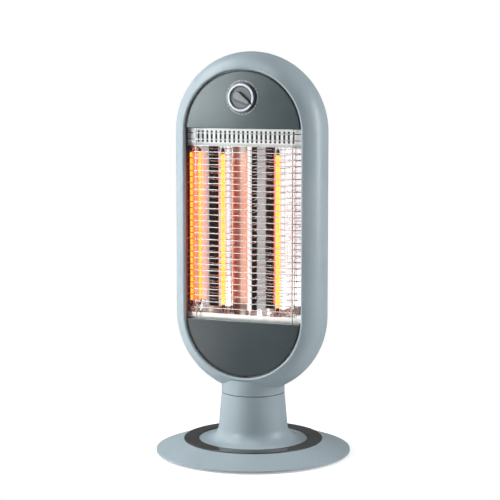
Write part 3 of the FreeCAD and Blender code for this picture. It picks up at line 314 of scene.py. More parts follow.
def noise(tree, coordinates, scale, detail=2.0, stretch=None):
    """Noise on the piece's own coordinates, optionally stretched along an axis."""
    if stretch:
        mapping = add_node(tree, "ShaderNodeMapping")
        mapping.inputs["Scale"].default_value = stretch
        tree.links.new(coordinates, mapping.inputs["Vector"])
        coordinates = mapping.outputs[0]
    node = add_node(tree, "ShaderNodeTexNoise")
    node.inputs["Scale"].default_value = scale
    node.inputs["Detail"].default_value = detail
    tree.links.new(coordinates, node.inputs["Vector"])
    return node.outputs["Fac"]


def spread(tree, factor, low, high):
    """Maps the middle of a noise onto low..high."""
    node = add_node(tree, "ShaderNodeMapRange")
    for socket, number in zip(node.inputs[1:5], (NOISE_LOW, NOISE_HIGH, low, high)):
        socket.default_value = number
    tree.links.new(factor, node.inputs["Value"])
    return node.outputs[0]


def drift_colour(tree, factor, first, second):
    """Runs from the first colour to the second over the middle of a noise."""
    return ramp_node(tree, factor, [(DRIFT_LOW, first), (DRIFT_HIGH, second)])


def emboss(tree, surface, height, strength):
    """Gives a shader a fine relief from a noise."""
    relief = add_node(tree, "ShaderNodeBump")
    relief.inputs["Strength"].default_value = strength
    relief.inputs["Distance"].default_value = RELIEF_DEPTH
    tree.links.new(height, relief.inputs["Height"])
    tree.links.new(relief.outputs[0], surface.inputs["Normal"])


print("relief of the grain, in mm:", round(RELIEF_DEPTH / MM, 2))

# %% Finish builder
SLOW_SHARE, FINE_SHARE = 0.6, 0.4


def new_material(name):
    """A new material; gives it with its node tree and its Principled shader."""
    material = bpy.data.materials.new(name)
    material.use_nodes = True
    return material, material.node_tree, material.node_tree.nodes["Principled BSDF"]


def finish(name, dark, light, rough, drift=18.0, grain=1400.0, bump=0.02, stretch=None, **shader):
    """A finish whose colour drifts from dark to light, over a range of roughness, with a grain."""
    material, tree, surface = new_material(name)
    for socket, value in shader.items():
        surface.inputs[socket.replace("_", " ")].default_value = value
    place = place_on(tree)
    slow = noise(tree, place, drift, 3.0, stretch)
    fine = noise(tree, place, grain, 1.0, stretch)
    tree.links.new(drift_colour(tree, slow, dark, light), surface.inputs["Base Color"])
    mixed = math_node(tree, "ADD", math_node(tree, "MULTIPLY", slow, SLOW_SHARE),
                      math_node(tree, "MULTIPLY", fine, FINE_SHARE))
    tree.links.new(spread(tree, mixed, *rough), surface.inputs["Roughness"])
    emboss(tree, surface, fine, bump)
    return material


satin_strip = finish("satin_strip", (0.88, 0.885, 0.89), (0.94, 0.945, 0.95), (0.34, 0.46),
                     drift=60.0, grain=700.0, Metallic=0.2)
sill_steel = finish("sill_steel", (0.82, 0.82, 0.80), (0.89, 0.89, 0.87), (0.30, 0.40),
                    drift=60.0, grain=700.0, Metallic=0.6)
print("first finishes:", satin_strip.name, sill_steel.name)

# %% Finishes by slot
finishes = {
    "housing": finish("satin_grey_moulding", (0.337, 0.415, 0.458), (0.367, 0.445, 0.488),
                      (0.30, 0.40), bump=0.05),
    "dark_panel": finish("charcoal_panel", (0.013, 0.031, 0.039), (0.021, 0.040, 0.048),
                         (0.18, 0.25), bump=0.03),
    "dark_ring": finish("charcoal_gloss_ring", (0.028, 0.030, 0.031), (0.037, 0.039, 0.040),
                        (0.12, 0.18), bump=0.03),
    "cover_steel": finish("stoved_black_sheet", (0.016, 0.015, 0.015), (0.026, 0.024, 0.023),
                          (0.35, 0.5)),
    "ballast": finish("cast_iron_ballast", (0.10, 0.10, 0.105), (0.17, 0.165, 0.16),
                      (0.6, 0.85), drift=60.0, grain=500.0, bump=0.5),
    "rubber": finish("black_rubber", (0.012, 0.012, 0.012), (0.022, 0.022, 0.022),
                     (0.65, 0.85), bump=0.15),
    "lead_jacket": finish("silicone_lead", (0.30, 0.035, 0.028), (0.40, 0.055, 0.04),
                          (0.40, 0.55), drift=90.0),
    "fasteners": finish("zinc_plate", (0.50, 0.51, 0.52), (0.66, 0.66, 0.65),
                        (0.25, 0.42), drift=220.0, Metallic=1.0),
    "steel": finish("plain_steel", (0.46, 0.47, 0.48), (0.60, 0.60, 0.60),
                    (0.28, 0.45), drift=60.0, grain=900.0, Metallic=1.0),
    "slip_plastic": finish("natural_slip_plastic", (0.72, 0.71, 0.66), (0.80, 0.79, 0.74),
                           (0.35, 0.5)),
    "black_plastic": finish("black_moulding", (0.016, 0.016, 0.017), (0.026, 0.026, 0.027),
                            (0.38, 0.55), bump=0.1),
    "knob_plastic": finish("knob_moulding", (0.20, 0.218, 0.23), (0.235, 0.255, 0.268),
                           (0.28, 0.38), bump=0.04),
    "bright_trim": finish("satin_silver", (0.21, 0.21, 0.235), (0.27, 0.27, 0.30),
                          (0.30, 0.40), drift=140.0, Metallic=1.0),
    "mirror_steel": finish("mirror_sheet", (0.86, 0.86, 0.87), (0.93, 0.93, 0.93),
                           (0.03, 0.07), drift=40.0, grain=300.0, bump=0.006,
                           stretch=(1.0, 1.0, 0.08), Metallic=1.0),
    "guard_wire": finish("plated_wire", (0.42, 0.405, 0.40), (0.52, 0.50, 0.495),
                         (0.20, 0.32), drift=120.0, Metallic=1.0),
    "cap_white": finish("steatite", (0.70, 0.68, 0.63), (0.78, 0.76, 0.72),
                        (0.5, 0.7), drift=70.0, grain=900.0, bump=0.2),
    "quartz": finish("quartz_glass", (0.97, 0.97, 0.97), (1.0, 1.0, 1.0),
                     (0.0, 0.04), drift=50.0, grain=200.0, bump=0.005,
                     Transmission_Weight=1.0, IOR=1.12),
    "filament": finish("carbon_ribbon", (0.02, 0.02, 0.02), (0.05, 0.05, 0.05), (0.5, 0.7)),
}
for row in frame["record"]["subparts"]:
    node = nodes[row["node"]]
    node.data.materials.clear()
    node.data.materials.append(finishes[row["material_slot"]])
nodes["vent_strip"].data.materials[0] = satin_strip
nodes["sill_strip"].data.materials[0] = sill_steel
nodes["upper_end_plate"].data.materials[0] = finishes["cover_steel"]

# %% [markdown]
# ## The mirror sheet
# The reflector is rolled, polished sheet. It isn't a perfect mirror: the polish leaves a faint
# haze, and the tubes' warmth has dulled the steel in upright bands beside the left tube. The haze
# is a second, rough reflection mixed in, tinted red as a painted reflection of the tubes' glow.
# Warm tints in upright bands beside the left tube are painted reflections of the glow as well.
# The bands could be drawn as a picture, but two colour ramps over the sideways place on the sheet
# do the same with a few numbers: one multiplies the colour by the painted tints, and one adds to
# the roughness.


# %% Tints by place
def axis_of(tree, letter):
    """The piece's own coordinate along one axis, in metres."""
    parts = add_node(tree, "ShaderNodeSeparateXYZ")
    tree.links.new(place_on(tree), parts.inputs[0])
    return parts.outputs[letter]


def mix_colours(tree, factor, first, second, blend_type="MIX"):
    """Mixes two colours, sockets or plain ones; gives the mixed colour."""
    node = add_node(tree, "ShaderNodeMix", data_type="RGBA", blend_type=blend_type)
    colours = [socket for socket in node.inputs if socket.type == "RGBA"]
    for value, socket in zip((factor, first, second), (node.inputs[0], *colours)):
        feed(tree, value, socket)
    return [socket for socket in node.outputs if socket.type == "RGBA"][0]


def tint(tree, colour):
    """Multiplies the finish's own colour by another."""
    base = tree.nodes["Principled BSDF"].inputs["Base Color"]
    own = base.links[0].from_socket
    tree.links.new(mix_colours(tree, 1.0, own, colour, "MULTIPLY"), base)


def as_grey(tree, level):
    """A level from 0 to 1 as a grey."""
    return ramp_node(tree, level, [(0.0, grey(0.0)), (1.0, grey(1.0))])


BRIGHT = grey(1.0)
# Warm tints for the mirror's bands, painted reflections of the tubes' red glow
AMBER = (0.80, 0.55, 0.46)
STRAW = (0.84, 0.78, 0.68)
RED_BROWN = (0.48, 0.26, 0.20)
DARK_RED = (0.33, 0.23, 0.19)
print("painted_glow colours:", AMBER, STRAW, RED_BROWN, DARK_RED)

# %% Mirror sheet
HAZE_SHARE = 0.03
HAZE_GLOW_COLOUR = (0.95, 0.42, 0.38, 1.0)
HAZE_ROUGHNESS = 0.55
BANDS_LEFT, BANDS_RIGHT = -85.0, 10.0


def across_sheet(tree, stops):
    """A colour ramp over the sideways place on the sheet, from (millimetres, colour) stops."""
    width = BANDS_RIGHT - BANDS_LEFT
    from_left = math_node(tree, "SUBTRACT", axis_of(tree, "X"), BANDS_LEFT * MM)
    share = math_node(tree, "DIVIDE", from_left, width * MM)
    return ramp_node(tree, share, [((mm - BANDS_LEFT) / width, colour) for mm, colour in stops])


mirror = finishes["mirror_steel"]
nodes["lower_end_plate"].data.materials[0] = mirror.copy()
tree = mirror.node_tree
polish = tree.nodes["Principled BSDF"]
# Painted reflections of the tubes' glow, in upright bands beside the left tube
tint(tree, across_sheet(tree, [
    (-83.3, BRIGHT), (-82.0, AMBER), (-78.5, AMBER), (-77.3, BRIGHT),
    (-35.0, BRIGHT), (-33.5, DARK_RED), (-29.0, DARK_RED), (-22.0, RED_BROWN),
    (-18.0, STRAW), (-6.0, STRAW), (-3.0, BRIGHT)]))
dulled = across_sheet(tree, [
    (-83.5, grey(0.0)), (-82.3, grey(0.20)), (-78.2, grey(0.20)), (-77.3, grey(0.0)),
    (-75.0, grey(0.0)), (-74.0, grey(0.16)), (-69.0, grey(0.16)), (-67.0, grey(0.0)),
    (-35.0, grey(0.0)), (-33.5, grey(0.26)), (-6.0, grey(0.26)), (-3.0, grey(0.0))])
gloss = polish.inputs["Roughness"]
tree.links.new(math_node(tree, "ADD", gloss.links[0].from_socket, dulled), gloss)
# The haze's red tint paints in a reflection of the tubes' glow
haze = add_node(tree, "ShaderNodeBsdfAnisotropic")
haze.inputs["Color"].default_value = HAZE_GLOW_COLOUR
haze.inputs["Roughness"].default_value = HAZE_ROUGHNESS
hazed = mix_shaders(tree, HAZE_SHARE, polish.outputs[0], haze.outputs[0])
tree.links.new(hazed, tree.nodes["Material Output"].inputs["Surface"])
print("mirror nodes:", len(tree.nodes))

# %% [markdown]
# ## The vent strip
# Over the window runs a satin strip with a row of upright slots. Black round each slot is painted
# shade, which makes the dark slots read wider, and the strip is darker along its foot. Both are
# painted by place: a saw-tooth over the sideways place repeats one slot's edge along the row, and
# smooth steps end it at the row's limits.

# %% Vent strip
SLOT_PITCH = 6.777 * MM
SLOT_EDGE = (0.210, 0.240)
SLOT_FOOT = (442.0 * MM, 442.4 * MM)
SLOT_TOP = (458.4 * MM, 458.8 * MM)
SLOT_ROW_END = (73.5 * MM, 74.0 * MM)
STRIP_FOOT = (439.5 * MM, 442.5 * MM)
STRIP_SHADE = (0.58, 0.88)
SLOT_SHADE_COLOUR = grey(0.02)
tree = satin_strip.node_tree
aside = axis_of(tree, "X")
height = axis_of(tree, "Z")
step = math_node(tree, "FRACT", math_node(tree, "DIVIDE", aside, SLOT_PITCH))
from_slot = math_node(tree, "ABSOLUTE", math_node(tree, "SUBTRACT", step, 0.5))
edge = between(tree, from_slot, *SLOT_EDGE, 1.0, 0.0)
row = math_node(tree, "MULTIPLY", between(tree, height, *SLOT_FOOT, 0.0, 1.0),
                between(tree, height, *SLOT_TOP, 1.0, 0.0))
ends = between(tree, math_node(tree, "ABSOLUTE", aside), *SLOT_ROW_END, 1.0, 0.0)
# Painted shade round each slot, so that the dark slots read wider
slot_shade = math_node(tree, "MULTIPLY", edge, math_node(tree, "MULTIPLY", row, ends))
tint(tree, ramp_node(tree, slot_shade, [(0.0, BRIGHT), (1.0, SLOT_SHADE_COLOUR)]))
tint(tree, as_grey(tree, between(tree, height, *STRIP_FOOT, *STRIP_SHADE)))
print("vent strip nodes:", len(tree.nodes))

# %% [markdown]
# ## The side liners
# Black sheet lines the window at its left and right. Along the tubes, but not above them, it is
# painted dark red, a painted glow that stands for the red light of the tubes falling on it. A mix
# of two colours that follows height gives this, and a slow noise lets the edge of the red wander.

# %% Side liners
GLOW_REACH = (405.0 * MM, 445.0 * MM)
WANDER = 12.0 * MM
WANDER_SCALE = 30.0
GLOW_RED = (0.30, 0.060, 0.045, 1.0)
glow_lit = finish("glow_lit_liner", (0.020, 0.016, 0.016), (0.030, 0.022, 0.021), (0.35, 0.5))
tree = glow_lit.node_tree
wander = spread(tree, noise(tree, place_on(tree), WANDER_SCALE), -WANDER, WANDER)
height = math_node(tree, "ADD", axis_of(tree, "Z"), wander)
# Painted red light of the tubes' glow on the black liner, fading out above the tubes
tube_glow = between(tree, height, *GLOW_REACH, 1.0, 0.0)
base = tree.nodes["Principled BSDF"].inputs["Base Color"]
tree.links.new(mix_colours(tree, tube_glow, base.links[0].from_socket, GLOW_RED), base)
nodes["window_liners"].data.materials[0] = glow_lit
print("liner nodes:", len(tree.nodes))

# %% [markdown]
# ## The knob
# The knob is one moulding, a dished disc with a teardrop grip across it. The top of the grip is
# pale, and its flanks and the dish round it lie in shade. So small a hollow catches much of the
# soft light, so the shapes alone would read too flat. The finish is therefore darkened by place:
# by depth, by distance from the grip's outline, and by radius. All of it is measured on the
# knob's own coordinates, so it turns with the knob.

# %% Knob outline
GRIP_TAIL = -4.6 * MM
TAIL_RADIUS = 5.6 * MM
GRIP_TAPER = 0.191
POINT_X, POINT_Z = 0.866, -0.5


def product(tree, first, second):
    """One number times another."""
    return math_node(tree, "MULTIPLY", first, second)


def length(tree, first, second):
    """Length of a distance with two parts at right angles."""
    squares = [product(tree, part, part) for part in (first, second)]
    return math_node(tree, "SQRT", math_node(tree, "ADD", *squares))


tree = finishes["knob_plastic"].node_tree
trim_low, trim_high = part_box("knob_trim_ring")
dial_x = (trim_low.x + trim_high.x) / 2
dial_z = (trim_low.z + trim_high.z) / 2
aside = math_node(tree, "SUBTRACT", axis_of(tree, "X"), dial_x)
above = math_node(tree, "SUBTRACT", axis_of(tree, "Z"), dial_z)
along = math_node(tree, "ADD", product(tree, aside, POINT_X), product(tree, above, POINT_Z))
beside = math_node(tree, "SUBTRACT", product(tree, above, POINT_X), product(tree, aside, POINT_Z))
past_tail = math_node(tree, "SUBTRACT", along, GRIP_TAIL)
reach = length(tree, beside, math_node(tree, "MINIMUM", past_tail, 0.0))
narrowing = product(tree, math_node(tree, "MAXIMUM", past_tail, 0.0), GRIP_TAPER)
from_grip = math_node(tree, "ADD", math_node(tree, "SUBTRACT", reach, TAIL_RADIUS), narrowing)
print("knob axis at x", round(dial_x, 4), "z", round(dial_z, 4))

# %% Knob shading
GRIP_FACE = (-50.0 * MM, -49.0 * MM)
DISH_FLOOR = (-46.2 * MM, -45.5 * MM)
GRIP_HALF = 3.0 * MM
SHADOW_LEAN = 2.2 * MM
SHADOW_EDGE = (2.2 * MM, 4.6 * MM)
DISH_RIM = (13.2 * MM, 14.8 * MM)
SKIRT_RIM = (16.5 * MM, 17.5 * MM)
FLANK_SHADE, DISH_SHADE, RIM_SHADE, SKIRT_SHADE = 0.16, 0.62, 0.25, 0.9
depth = axis_of(tree, "Y")
radius = length(tree, aside, above)
top = between(tree, depth, *GRIP_FACE, 1.0, FLANK_SHADE)
in_dish = between(tree, depth, *DISH_FLOOR, 0.0, 1.0)
lean = between(tree, beside, -GRIP_HALF, GRIP_HALF, 0.0, SHADOW_LEAN)
from_foot = math_node(tree, "ADD", from_grip, lean)
dish = product(tree, in_dish, between(tree, from_foot, *SHADOW_EDGE, FLANK_SHADE, DISH_SHADE))
rim = between(tree, radius, *DISH_RIM, 1.0, RIM_SHADE)
skirt = between(tree, radius, *SKIRT_RIM, 0.0, SKIRT_SHADE)
inside = product(tree, math_node(tree, "MAXIMUM", top, dish), rim)
tint(tree, as_grey(tree, math_node(tree, "MAXIMUM", inside, skirt)))
print("knob nodes:", len(tree.nodes))

# %% [markdown]
# ## The glowing spirals
# A carbon heater's tube holds a ribbon of woven carbon fibre wound on a rod. It could be a plain
# glowing cylinder, but the winding is what the eye sees between the guard wires. A short upright
# edge is wound up the tube with a Screw modifier, thickened with Solidify, and laid over a core
# rod that glows a little less, so the gaps between the turns stay visible.

# %% Glow
CARBON = (0.02, 0.02, 0.02, 1.0)
HEAT_SCALE = 160.0
FIBRE_SCALE = 2600.0
FIBRE_ROUGHNESS = (0.5, 0.7)
FIBRE_BUMP = 0.2


def glow(name, cool, hot, strength):
    """Glowing carbon: noise runs the colour from cool to hot, over a fine woven relief."""
    material, tree, surface = new_material(name)
    surface.inputs["Base Color"].default_value = CARBON
    surface.inputs["Emission Strength"].default_value = strength
    place = place_on(tree)
    tube_glow = noise(tree, place, HEAT_SCALE, 3.0)
    fibre = noise(tree, place, FIBRE_SCALE, 1.0)
    tree.links.new(drift_colour(tree, tube_glow, cool, hot), surface.inputs["Emission Color"])
    tree.links.new(spread(tree, fibre, *FIBRE_ROUGHNESS), surface.inputs["Roughness"])
    emboss(tree, surface, fibre, FIBRE_BUMP)
    return material


ribbon_glow = glow("glowing_ribbon", (1.0, 0.110, 0.0060), (1.0, 0.140, 0.0110), 7.0)
core_glow = glow("glowing_core", (1.0, 0.118, 0.0060), (1.0, 0.142, 0.0100), 6.5)
print("glow:", ribbon_glow.name, core_glow.name)

# %% Ribbon
SPIRAL_RADIUS = 2.35 * MM
SPIRAL_PITCH = 4.4 * MM
STEPS_PER_TURN = 24
RIBBON_WIDTH = 3.4 * MM
RIBBON_THICKNESS = 0.4 * MM
CLEAR_FOOT = 17.0 * MM
CLEAR_TOP = 11.5 * MM
trough_low, trough_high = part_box("reflector")
glow_low = trough_low.z + CLEAR_FOOT
glow_high = trough_high.z - CLEAR_TOP
turns = round((glow_high - glow_low - RIBBON_WIDTH) / SPIRAL_PITCH)
deselect_all()
bpy.ops.mesh.primitive_plane_add(size=RIBBON_WIDTH, location=(0, 0, 0))
ribbon = bpy.context.object
bpy.ops.object.mode_set(mode="EDIT")
bpy.ops.mesh.select_mode(type="VERT")
bpy.ops.mesh.select_all(action="DESELECT")
bpy.ops.object.mode_set(mode="OBJECT")
for vertex in ribbon.data.vertices:
    vertex.select = vertex.co.x > 0
bpy.ops.object.mode_set(mode="EDIT")
bpy.ops.mesh.delete(type="VERT")
bpy.ops.mesh.select_all(action="SELECT")
bpy.ops.transform.rotate(value=math.pi / 2, orient_axis="X", center_override=(0, 0, 0))
bpy.ops.transform.translate(value=(SPIRAL_RADIUS + RIBBON_WIDTH / 2, 0, RIBBON_WIDTH / 2))
bpy.ops.object.mode_set(mode="OBJECT")
winding = ribbon.modifiers.new("winding", "SCREW")
winding.axis = "Z"
winding.screw_offset = SPIRAL_PITCH
winding.iterations = turns
winding.steps = STEPS_PER_TURN
winding.render_steps = STEPS_PER_TURN
winding.use_smooth_shade = True
bpy.ops.object.modifier_apply(modifier="winding")
thickness = ribbon.modifiers.new("thickness", "SOLIDIFY")
thickness.thickness = RIBBON_THICKNESS
bpy.ops.object.modifier_apply(modifier="thickness")
print("ribbon turns:", turns, "faces:", len(ribbon.data.polygons))

# %% [markdown]
# ## Cores, clamps and leads
# Inside the ribbon runs the core rod. At each end a small graphite clamp, stepped like a turned
# part, grips the ribbon, and a thin wire leads on to the cap of the tube. The clamp starts as a
# cylinder whose top is inset and extruded twice, and its sharp edges are bevelled so that they
# catch light. It is modelled once and copied to all four ends, turned over at the feet.


# %% Core rod
def edit_piece(piece):
    """Opens one piece alone in edit mode with everything selected."""
    deselect_all()
    piece.select_set(True)
    bpy.context.view_layer.objects.active = piece
    bpy.ops.object.mode_set(mode="EDIT")
    bpy.ops.mesh.select_all(action="SELECT")


CORE_RADIUS = 1.7 * MM
glow_span = turns * SPIRAL_PITCH + RIBBON_WIDTH
deselect_all()
bpy.ops.mesh.primitive_cylinder_add(vertices=24, radius=CORE_RADIUS, depth=glow_span,
                                    location=(0, 0, 0))
core = bpy.context.object
edit_piece(core)
bpy.ops.transform.translate(value=(0, 0, glow_span / 2))
bpy.ops.object.mode_set(mode="OBJECT")
print("core faces:", len(core.data.polygons), "length:", round(glow_span, 4))


# %% Clamp
def pick_faces(piece, test):
    """Leaves only the faces that pass the test selected, in edit mode."""
    bpy.ops.mesh.select_mode(type="FACE")
    bpy.ops.mesh.select_all(action="DESELECT")
    bpy.ops.object.mode_set(mode="OBJECT")
    for face in piece.data.polygons:
        face.select = test(face)
    bpy.ops.object.mode_set(mode="EDIT")


CLAMP_RADIUS = 2.5 * MM
CLAMP_LENGTH = 6.0 * MM
CLAMP_STEPS = ((0.8 * MM, 1.8 * MM), (0.9 * MM, 2.0 * MM))
CLAMP_BEVEL = 0.22 * MM
SHARP_EDGE = math.radians(60)
SMOOTH_EDGE = math.radians(35)
deselect_all()
bpy.ops.mesh.primitive_cylinder_add(vertices=32, radius=CLAMP_RADIUS, depth=CLAMP_LENGTH,
                                    location=(0, 0, 0))
clamp = bpy.context.object
edit_piece(clamp)
bpy.ops.transform.translate(value=(0, 0, CLAMP_LENGTH / 2))
pick_faces(clamp, lambda face: face.normal.z > 0.9)
for step_in, step_up in CLAMP_STEPS:
    bpy.ops.mesh.inset(thickness=step_in)
    bpy.ops.mesh.extrude_region_move(TRANSFORM_OT_translate={"value": (0, 0, step_up)})
bpy.ops.mesh.select_mode(type="EDGE")
bpy.ops.mesh.select_all(action="DESELECT")
bpy.ops.mesh.edges_select_sharp(sharpness=SHARP_EDGE)
bpy.ops.mesh.bevel(offset=CLAMP_BEVEL, segments=2, affect="EDGES")
bpy.ops.object.mode_set(mode="OBJECT")
bpy.ops.object.shade_smooth_by_angle(angle=SMOOTH_EDGE)
print("clamp faces:", len(clamp.data.polygons))


# %% Copies and leads
def copy_piece(piece, over=False, move=(0, 0, 0)):
    """A copy with a mesh of its own, turned over if asked, then moved inside its mesh."""
    other = piece.copy()
    other.data = piece.data.copy()
    bpy.context.collection.objects.link(other)
    edit_piece(other)
    if over:
        bpy.ops.transform.rotate(value=math.pi, orient_axis="X", center_override=(0, 0, 0))
    bpy.ops.transform.translate(value=move)
    bpy.ops.mesh.normals_make_consistent(inside=False)
    bpy.ops.object.mode_set(mode="OBJECT")
    return other


LEAD_RADIUS = 0.6 * MM


def lead_rod(x, y, first, last):
    """A thin upright wire from the first level to the last."""
    deselect_all()
    bpy.ops.mesh.primitive_cylinder_add(vertices=16, radius=LEAD_RADIUS, depth=last - first,
                                        location=(0, 0, 0))
    lead = bpy.context.object
    edit_piece(lead)
    bpy.ops.transform.translate(value=(x, y, (first + last) / 2))
    bpy.ops.object.mode_set(mode="OBJECT")
    bpy.ops.object.shade_smooth_by_angle(angle=SMOOTH_EDGE)
    return lead


def finish_piece(piece, name, body, material):
    """Names a finished mesh, gives it its material and its body."""
    piece.name = name
    piece.data.name = name
    piece.data.materials.clear()
    piece.data.materials.append(material)
    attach(piece, body)
    return piece


graphite = finish("graphite_clamp", (0.010, 0.009, 0.009), (0.022, 0.020, 0.019), (0.4, 0.6),
                  drift=300.0, grain=2500.0, bump=0.1)
print("clamp finish:", graphite.name)

# %% Place them in both tubes
glow_top = glow_low + glow_span
for side in ("left", "right"):
    node_name = "carbon_filament_" + side
    low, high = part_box(node_name)
    x = (low.x + high.x) / 2
    y = (low.y + high.y) / 2
    spiral = copy_piece(ribbon, move=(x, y, glow_low))
    finish_piece(spiral, "spiral_" + side, "head", ribbon_glow)
    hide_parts(node_name)
    rod = copy_piece(core, move=(x, y, glow_low))
    finish_piece(rod, "core_" + side, "head", core_glow)
    for end, over, level in (("top", False, glow_top), ("foot", True, glow_low)):
        piece = copy_piece(clamp, over, (x, y, level))
        finish_piece(piece, "clamp_" + end + "_" + side, "head", graphite)
    for end, first, last in (("top", glow_top + CLAMP_LENGTH, high.z),
                             ("foot", low.z, glow_low - CLAMP_LENGTH)):
        lead = lead_rod(x, y, first, last)
        finish_piece(lead, "lead_" + end + "_" + side, "head", finishes["steel"])
for spare in (ribbon, core, clamp):
    bpy.data.objects.remove(spare)
print("glow from", round(glow_low, 4), "to", round(glow_top, 4))

# %% [markdown]
# ## Panel gaskets
# A thin black strip of foam lies in the corner between each panel and the bezel. It shows as the
# dark line round the panels. A dark line in the finish would do from afar, but a strip has a real
# edge. A round face is cut at the window's edge, inset, thinned to the curved strip and raised.

# %% Panel gaskets
GASKET_WIDTH = 1.3 * MM
GASKET_HEIGHT = 0.5 * MM
GASKET_END = 3.0 * MM
foam = finish("black_foam", (0.006, 0.007, 0.008), (0.013, 0.014, 0.015), (0.6, 0.85),
              drift=200.0, grain=3000.0, bump=0.3)


def panel_gasket(panel, side):
    """A strip along a panel's round edge; side is 1 for a round top and -1 for a round foot."""
    low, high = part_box(panel)
    half_width = (high.x - low.x) / 2
    rise = high.z - low.z
    radius = (half_width ** 2 + rise ** 2) / (2 * rise)
    window_edge = radius - rise

    def on_window_edge(face):
        inner = abs(face.center.x) < half_width - GASKET_END
        return inner and face.center.y < window_edge + GASKET_WIDTH

    deselect_all()
    bpy.ops.mesh.primitive_circle_add(vertices=192, radius=radius, fill_type="NGON",
                                      location=(0, 0, 0))
    strip = bpy.context.object
    edit_piece(strip)
    bpy.ops.mesh.bisect(plane_co=(0, window_edge, 0), plane_no=(0, 1, 0), clear_inner=True)
    bpy.ops.mesh.select_all(action="SELECT")
    bpy.ops.mesh.select_mode(type="FACE")
    bpy.ops.mesh.inset(thickness=GASKET_WIDTH)
    bpy.ops.mesh.delete(type="ONLY_FACE")
    pick_faces(strip, on_window_edge)
    bpy.ops.mesh.delete(type="FACE")
    bpy.ops.mesh.select_all(action="SELECT")
    bpy.ops.mesh.extrude_region_move(TRANSFORM_OT_translate={"value": (0, 0, GASKET_HEIGHT)})
    bpy.ops.mesh.select_all(action="SELECT")
    bpy.ops.transform.translate(value=(0, -radius, 0))
    bpy.ops.transform.rotate(value=-math.pi / 2, orient_axis="X", center_override=(0, 0, 0))
    if side < 0:
        bpy.ops.transform.rotate(value=math.pi, orient_axis="Y", center_override=(0, 0, 0))
    level = high.z if side > 0 else low.z
    bpy.ops.transform.translate(value=((low.x + high.x) / 2, low.y, level))
    bpy.ops.mesh.normals_make_consistent(inside=False)
    bpy.ops.object.mode_set(mode="OBJECT")
    return strip


for panel, side in (("upper_panel", 1), ("lower_panel", -1)):
    strip = finish_piece(panel_gasket(panel, side), panel + "_gasket", "head", foam)
    print(strip.name, "faces:", len(strip.data.polygons))

# %% [markdown]
# ## A dark sheet behind the vents
# Behind the slots of the vent strip sits a thin black sheet. It is painted shade: it stands for
# the shade seen through the slots, so that they read black. Its finish has a fine grain.

# %% Shade sheet behind the vents
SHADE_SHEET_THICKNESS = 0.25 * MM
SHADE_SHEET_WIDTH = 146.0 * MM
SHADE_SHEET_MARGIN = 5.0 * MM
strip_low, strip_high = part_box("vent_strip")
shade_sheet_height = strip_high.z - strip_low.z - SHADE_SHEET_MARGIN
shade_sheet_middle = (strip_low.z + strip_high.z) / 2
# A black sheet of painted shade, seen through the slots
deselect_all()
bpy.ops.mesh.primitive_cube_add(size=1.0, location=(0, 0, 0))
shade_sheet = bpy.context.object
edit_piece(shade_sheet)
bpy.ops.transform.resize(value=(SHADE_SHEET_WIDTH, SHADE_SHEET_THICKNESS, shade_sheet_height),
                         center_override=(0, 0, 0))
bpy.ops.transform.translate(value=(0, strip_high.y + SHADE_SHEET_THICKNESS, shade_sheet_middle))
bpy.ops.object.mode_set(mode="OBJECT")
shade_sheet_finish = finish("black_shade_sheet", (0.004, 0.004, 0.004), (0.010, 0.010, 0.010), (0.6, 0.8),
               drift=900.0, grain=1600.0, bump=0.6)
finish_piece(shade_sheet, "vent_shade_sheet", "head", shade_sheet_finish)
print("gauze behind y", round(strip_high.y, 4), "height", round(shade_sheet_height, 4))

# %% [markdown]
# ## The dial print
# Round the knob the panel carries a thin pale ring, broken by six short marks for the settings.
# On the real panel it is screen-printed ink. A picture could stand in for it, but ink has a real
# edge and a little height, so it is modelled: a disc inset to a narrow ring, the faces by each
# mark taken away, the rest raised by a hair, and one small bar copied round for the marks.

# %% Dial ring
PRINT_RADIUS = 23.7 * MM
PRINT_WIDTH = 1.25 * MM
PRINT_HEIGHT = 0.08 * MM
MARKS = 6
MARK_GAP = 6.0
panel_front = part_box("upper_panel")[0].y
deselect_all()
bpy.ops.mesh.primitive_circle_add(vertices=180, radius=PRINT_RADIUS, fill_type="NGON",
                                  location=(0, 0, 0))
ring = bpy.context.object
edit_piece(ring)
bpy.ops.mesh.select_mode(type="FACE")
bpy.ops.mesh.inset(thickness=PRINT_WIDTH)
bpy.ops.mesh.delete(type="ONLY_FACE")


def by_a_mark(face):
    """True for a face of the ring within the gap, in degrees, at either side of a mark."""
    spacing = 360.0 / MARKS
    angle = math.degrees(math.atan2(face.center.x, face.center.y)) % spacing
    return min(angle, spacing - angle) < MARK_GAP


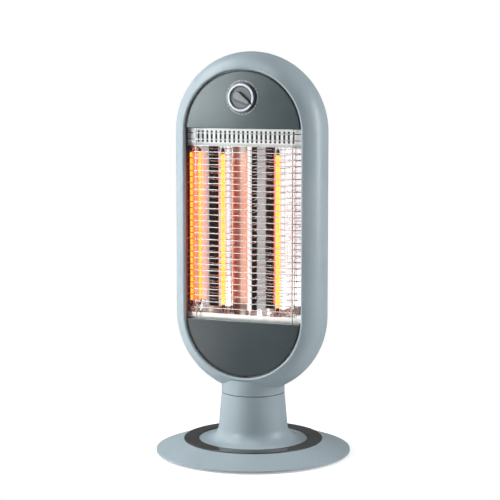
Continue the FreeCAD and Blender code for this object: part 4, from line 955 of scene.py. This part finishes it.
pick_faces(ring, by_a_mark)
bpy.ops.mesh.delete(type="FACE")
bpy.ops.mesh.select_all(action="SELECT")
bpy.ops.mesh.extrude_region_move(TRANSFORM_OT_translate={"value": (0, 0, PRINT_HEIGHT)})
bpy.ops.object.mode_set(mode="OBJECT")
print("dial ring faces:", len(ring.data.polygons))

# %% Dial marks
MARK_WIDTH = 1.5 * MM
MARK_LENGTH = 2.8 * MM
MARK_BEVEL = 0.02 * MM
deselect_all()
bpy.ops.mesh.primitive_cube_add(size=1.0, location=(0, 0, 0))
mark = bpy.context.object
edit_piece(mark)
bpy.ops.transform.resize(value=(MARK_WIDTH, MARK_LENGTH, PRINT_HEIGHT),
                         center_override=(0, 0, 0))
bpy.ops.transform.translate(value=(0, PRINT_RADIUS - PRINT_WIDTH / 2, PRINT_HEIGHT / 2))
bpy.ops.mesh.bevel(offset=MARK_BEVEL, segments=1, affect="EDGES")
bpy.ops.object.mode_set(mode="OBJECT")
marks = []
for number in range(MARKS):
    other = copy_piece(mark)
    edit_piece(other)
    bpy.ops.transform.rotate(value=number * math.tau / MARKS, orient_axis="Z",
                             center_override=(0, 0, 0))
    bpy.ops.object.mode_set(mode="OBJECT")
    marks.append(other)
bpy.data.objects.remove(mark)
print("dial marks:", len(marks))

# %% Dial on the panel
deselect_all()
for piece in (*marks, ring):
    piece.select_set(True)
bpy.context.view_layer.objects.active = ring
bpy.ops.object.join()
edit_piece(ring)
bpy.ops.transform.rotate(value=-math.pi / 2, orient_axis="X", center_override=(0, 0, 0))
bpy.ops.transform.translate(value=(dial_x, panel_front, dial_z))
bpy.ops.mesh.normals_make_consistent(inside=False)
bpy.ops.object.mode_set(mode="OBJECT")
dial_ink = finish("dial_ink", (0.46, 0.47, 0.49), (0.55, 0.56, 0.58), (0.45, 0.6),
                  drift=400.0, grain=3000.0, bump=0.1)
finish_piece(ring, "dial_print", "head", dial_ink)
print("dial print faces:", len(ring.data.polygons), "on the panel at y", round(panel_front, 5))

# %% [markdown]
# ## The view
# The view transform is Standard, which shows colours about as they are written.

bpy.context.scene.view_settings.view_transform = "Standard"
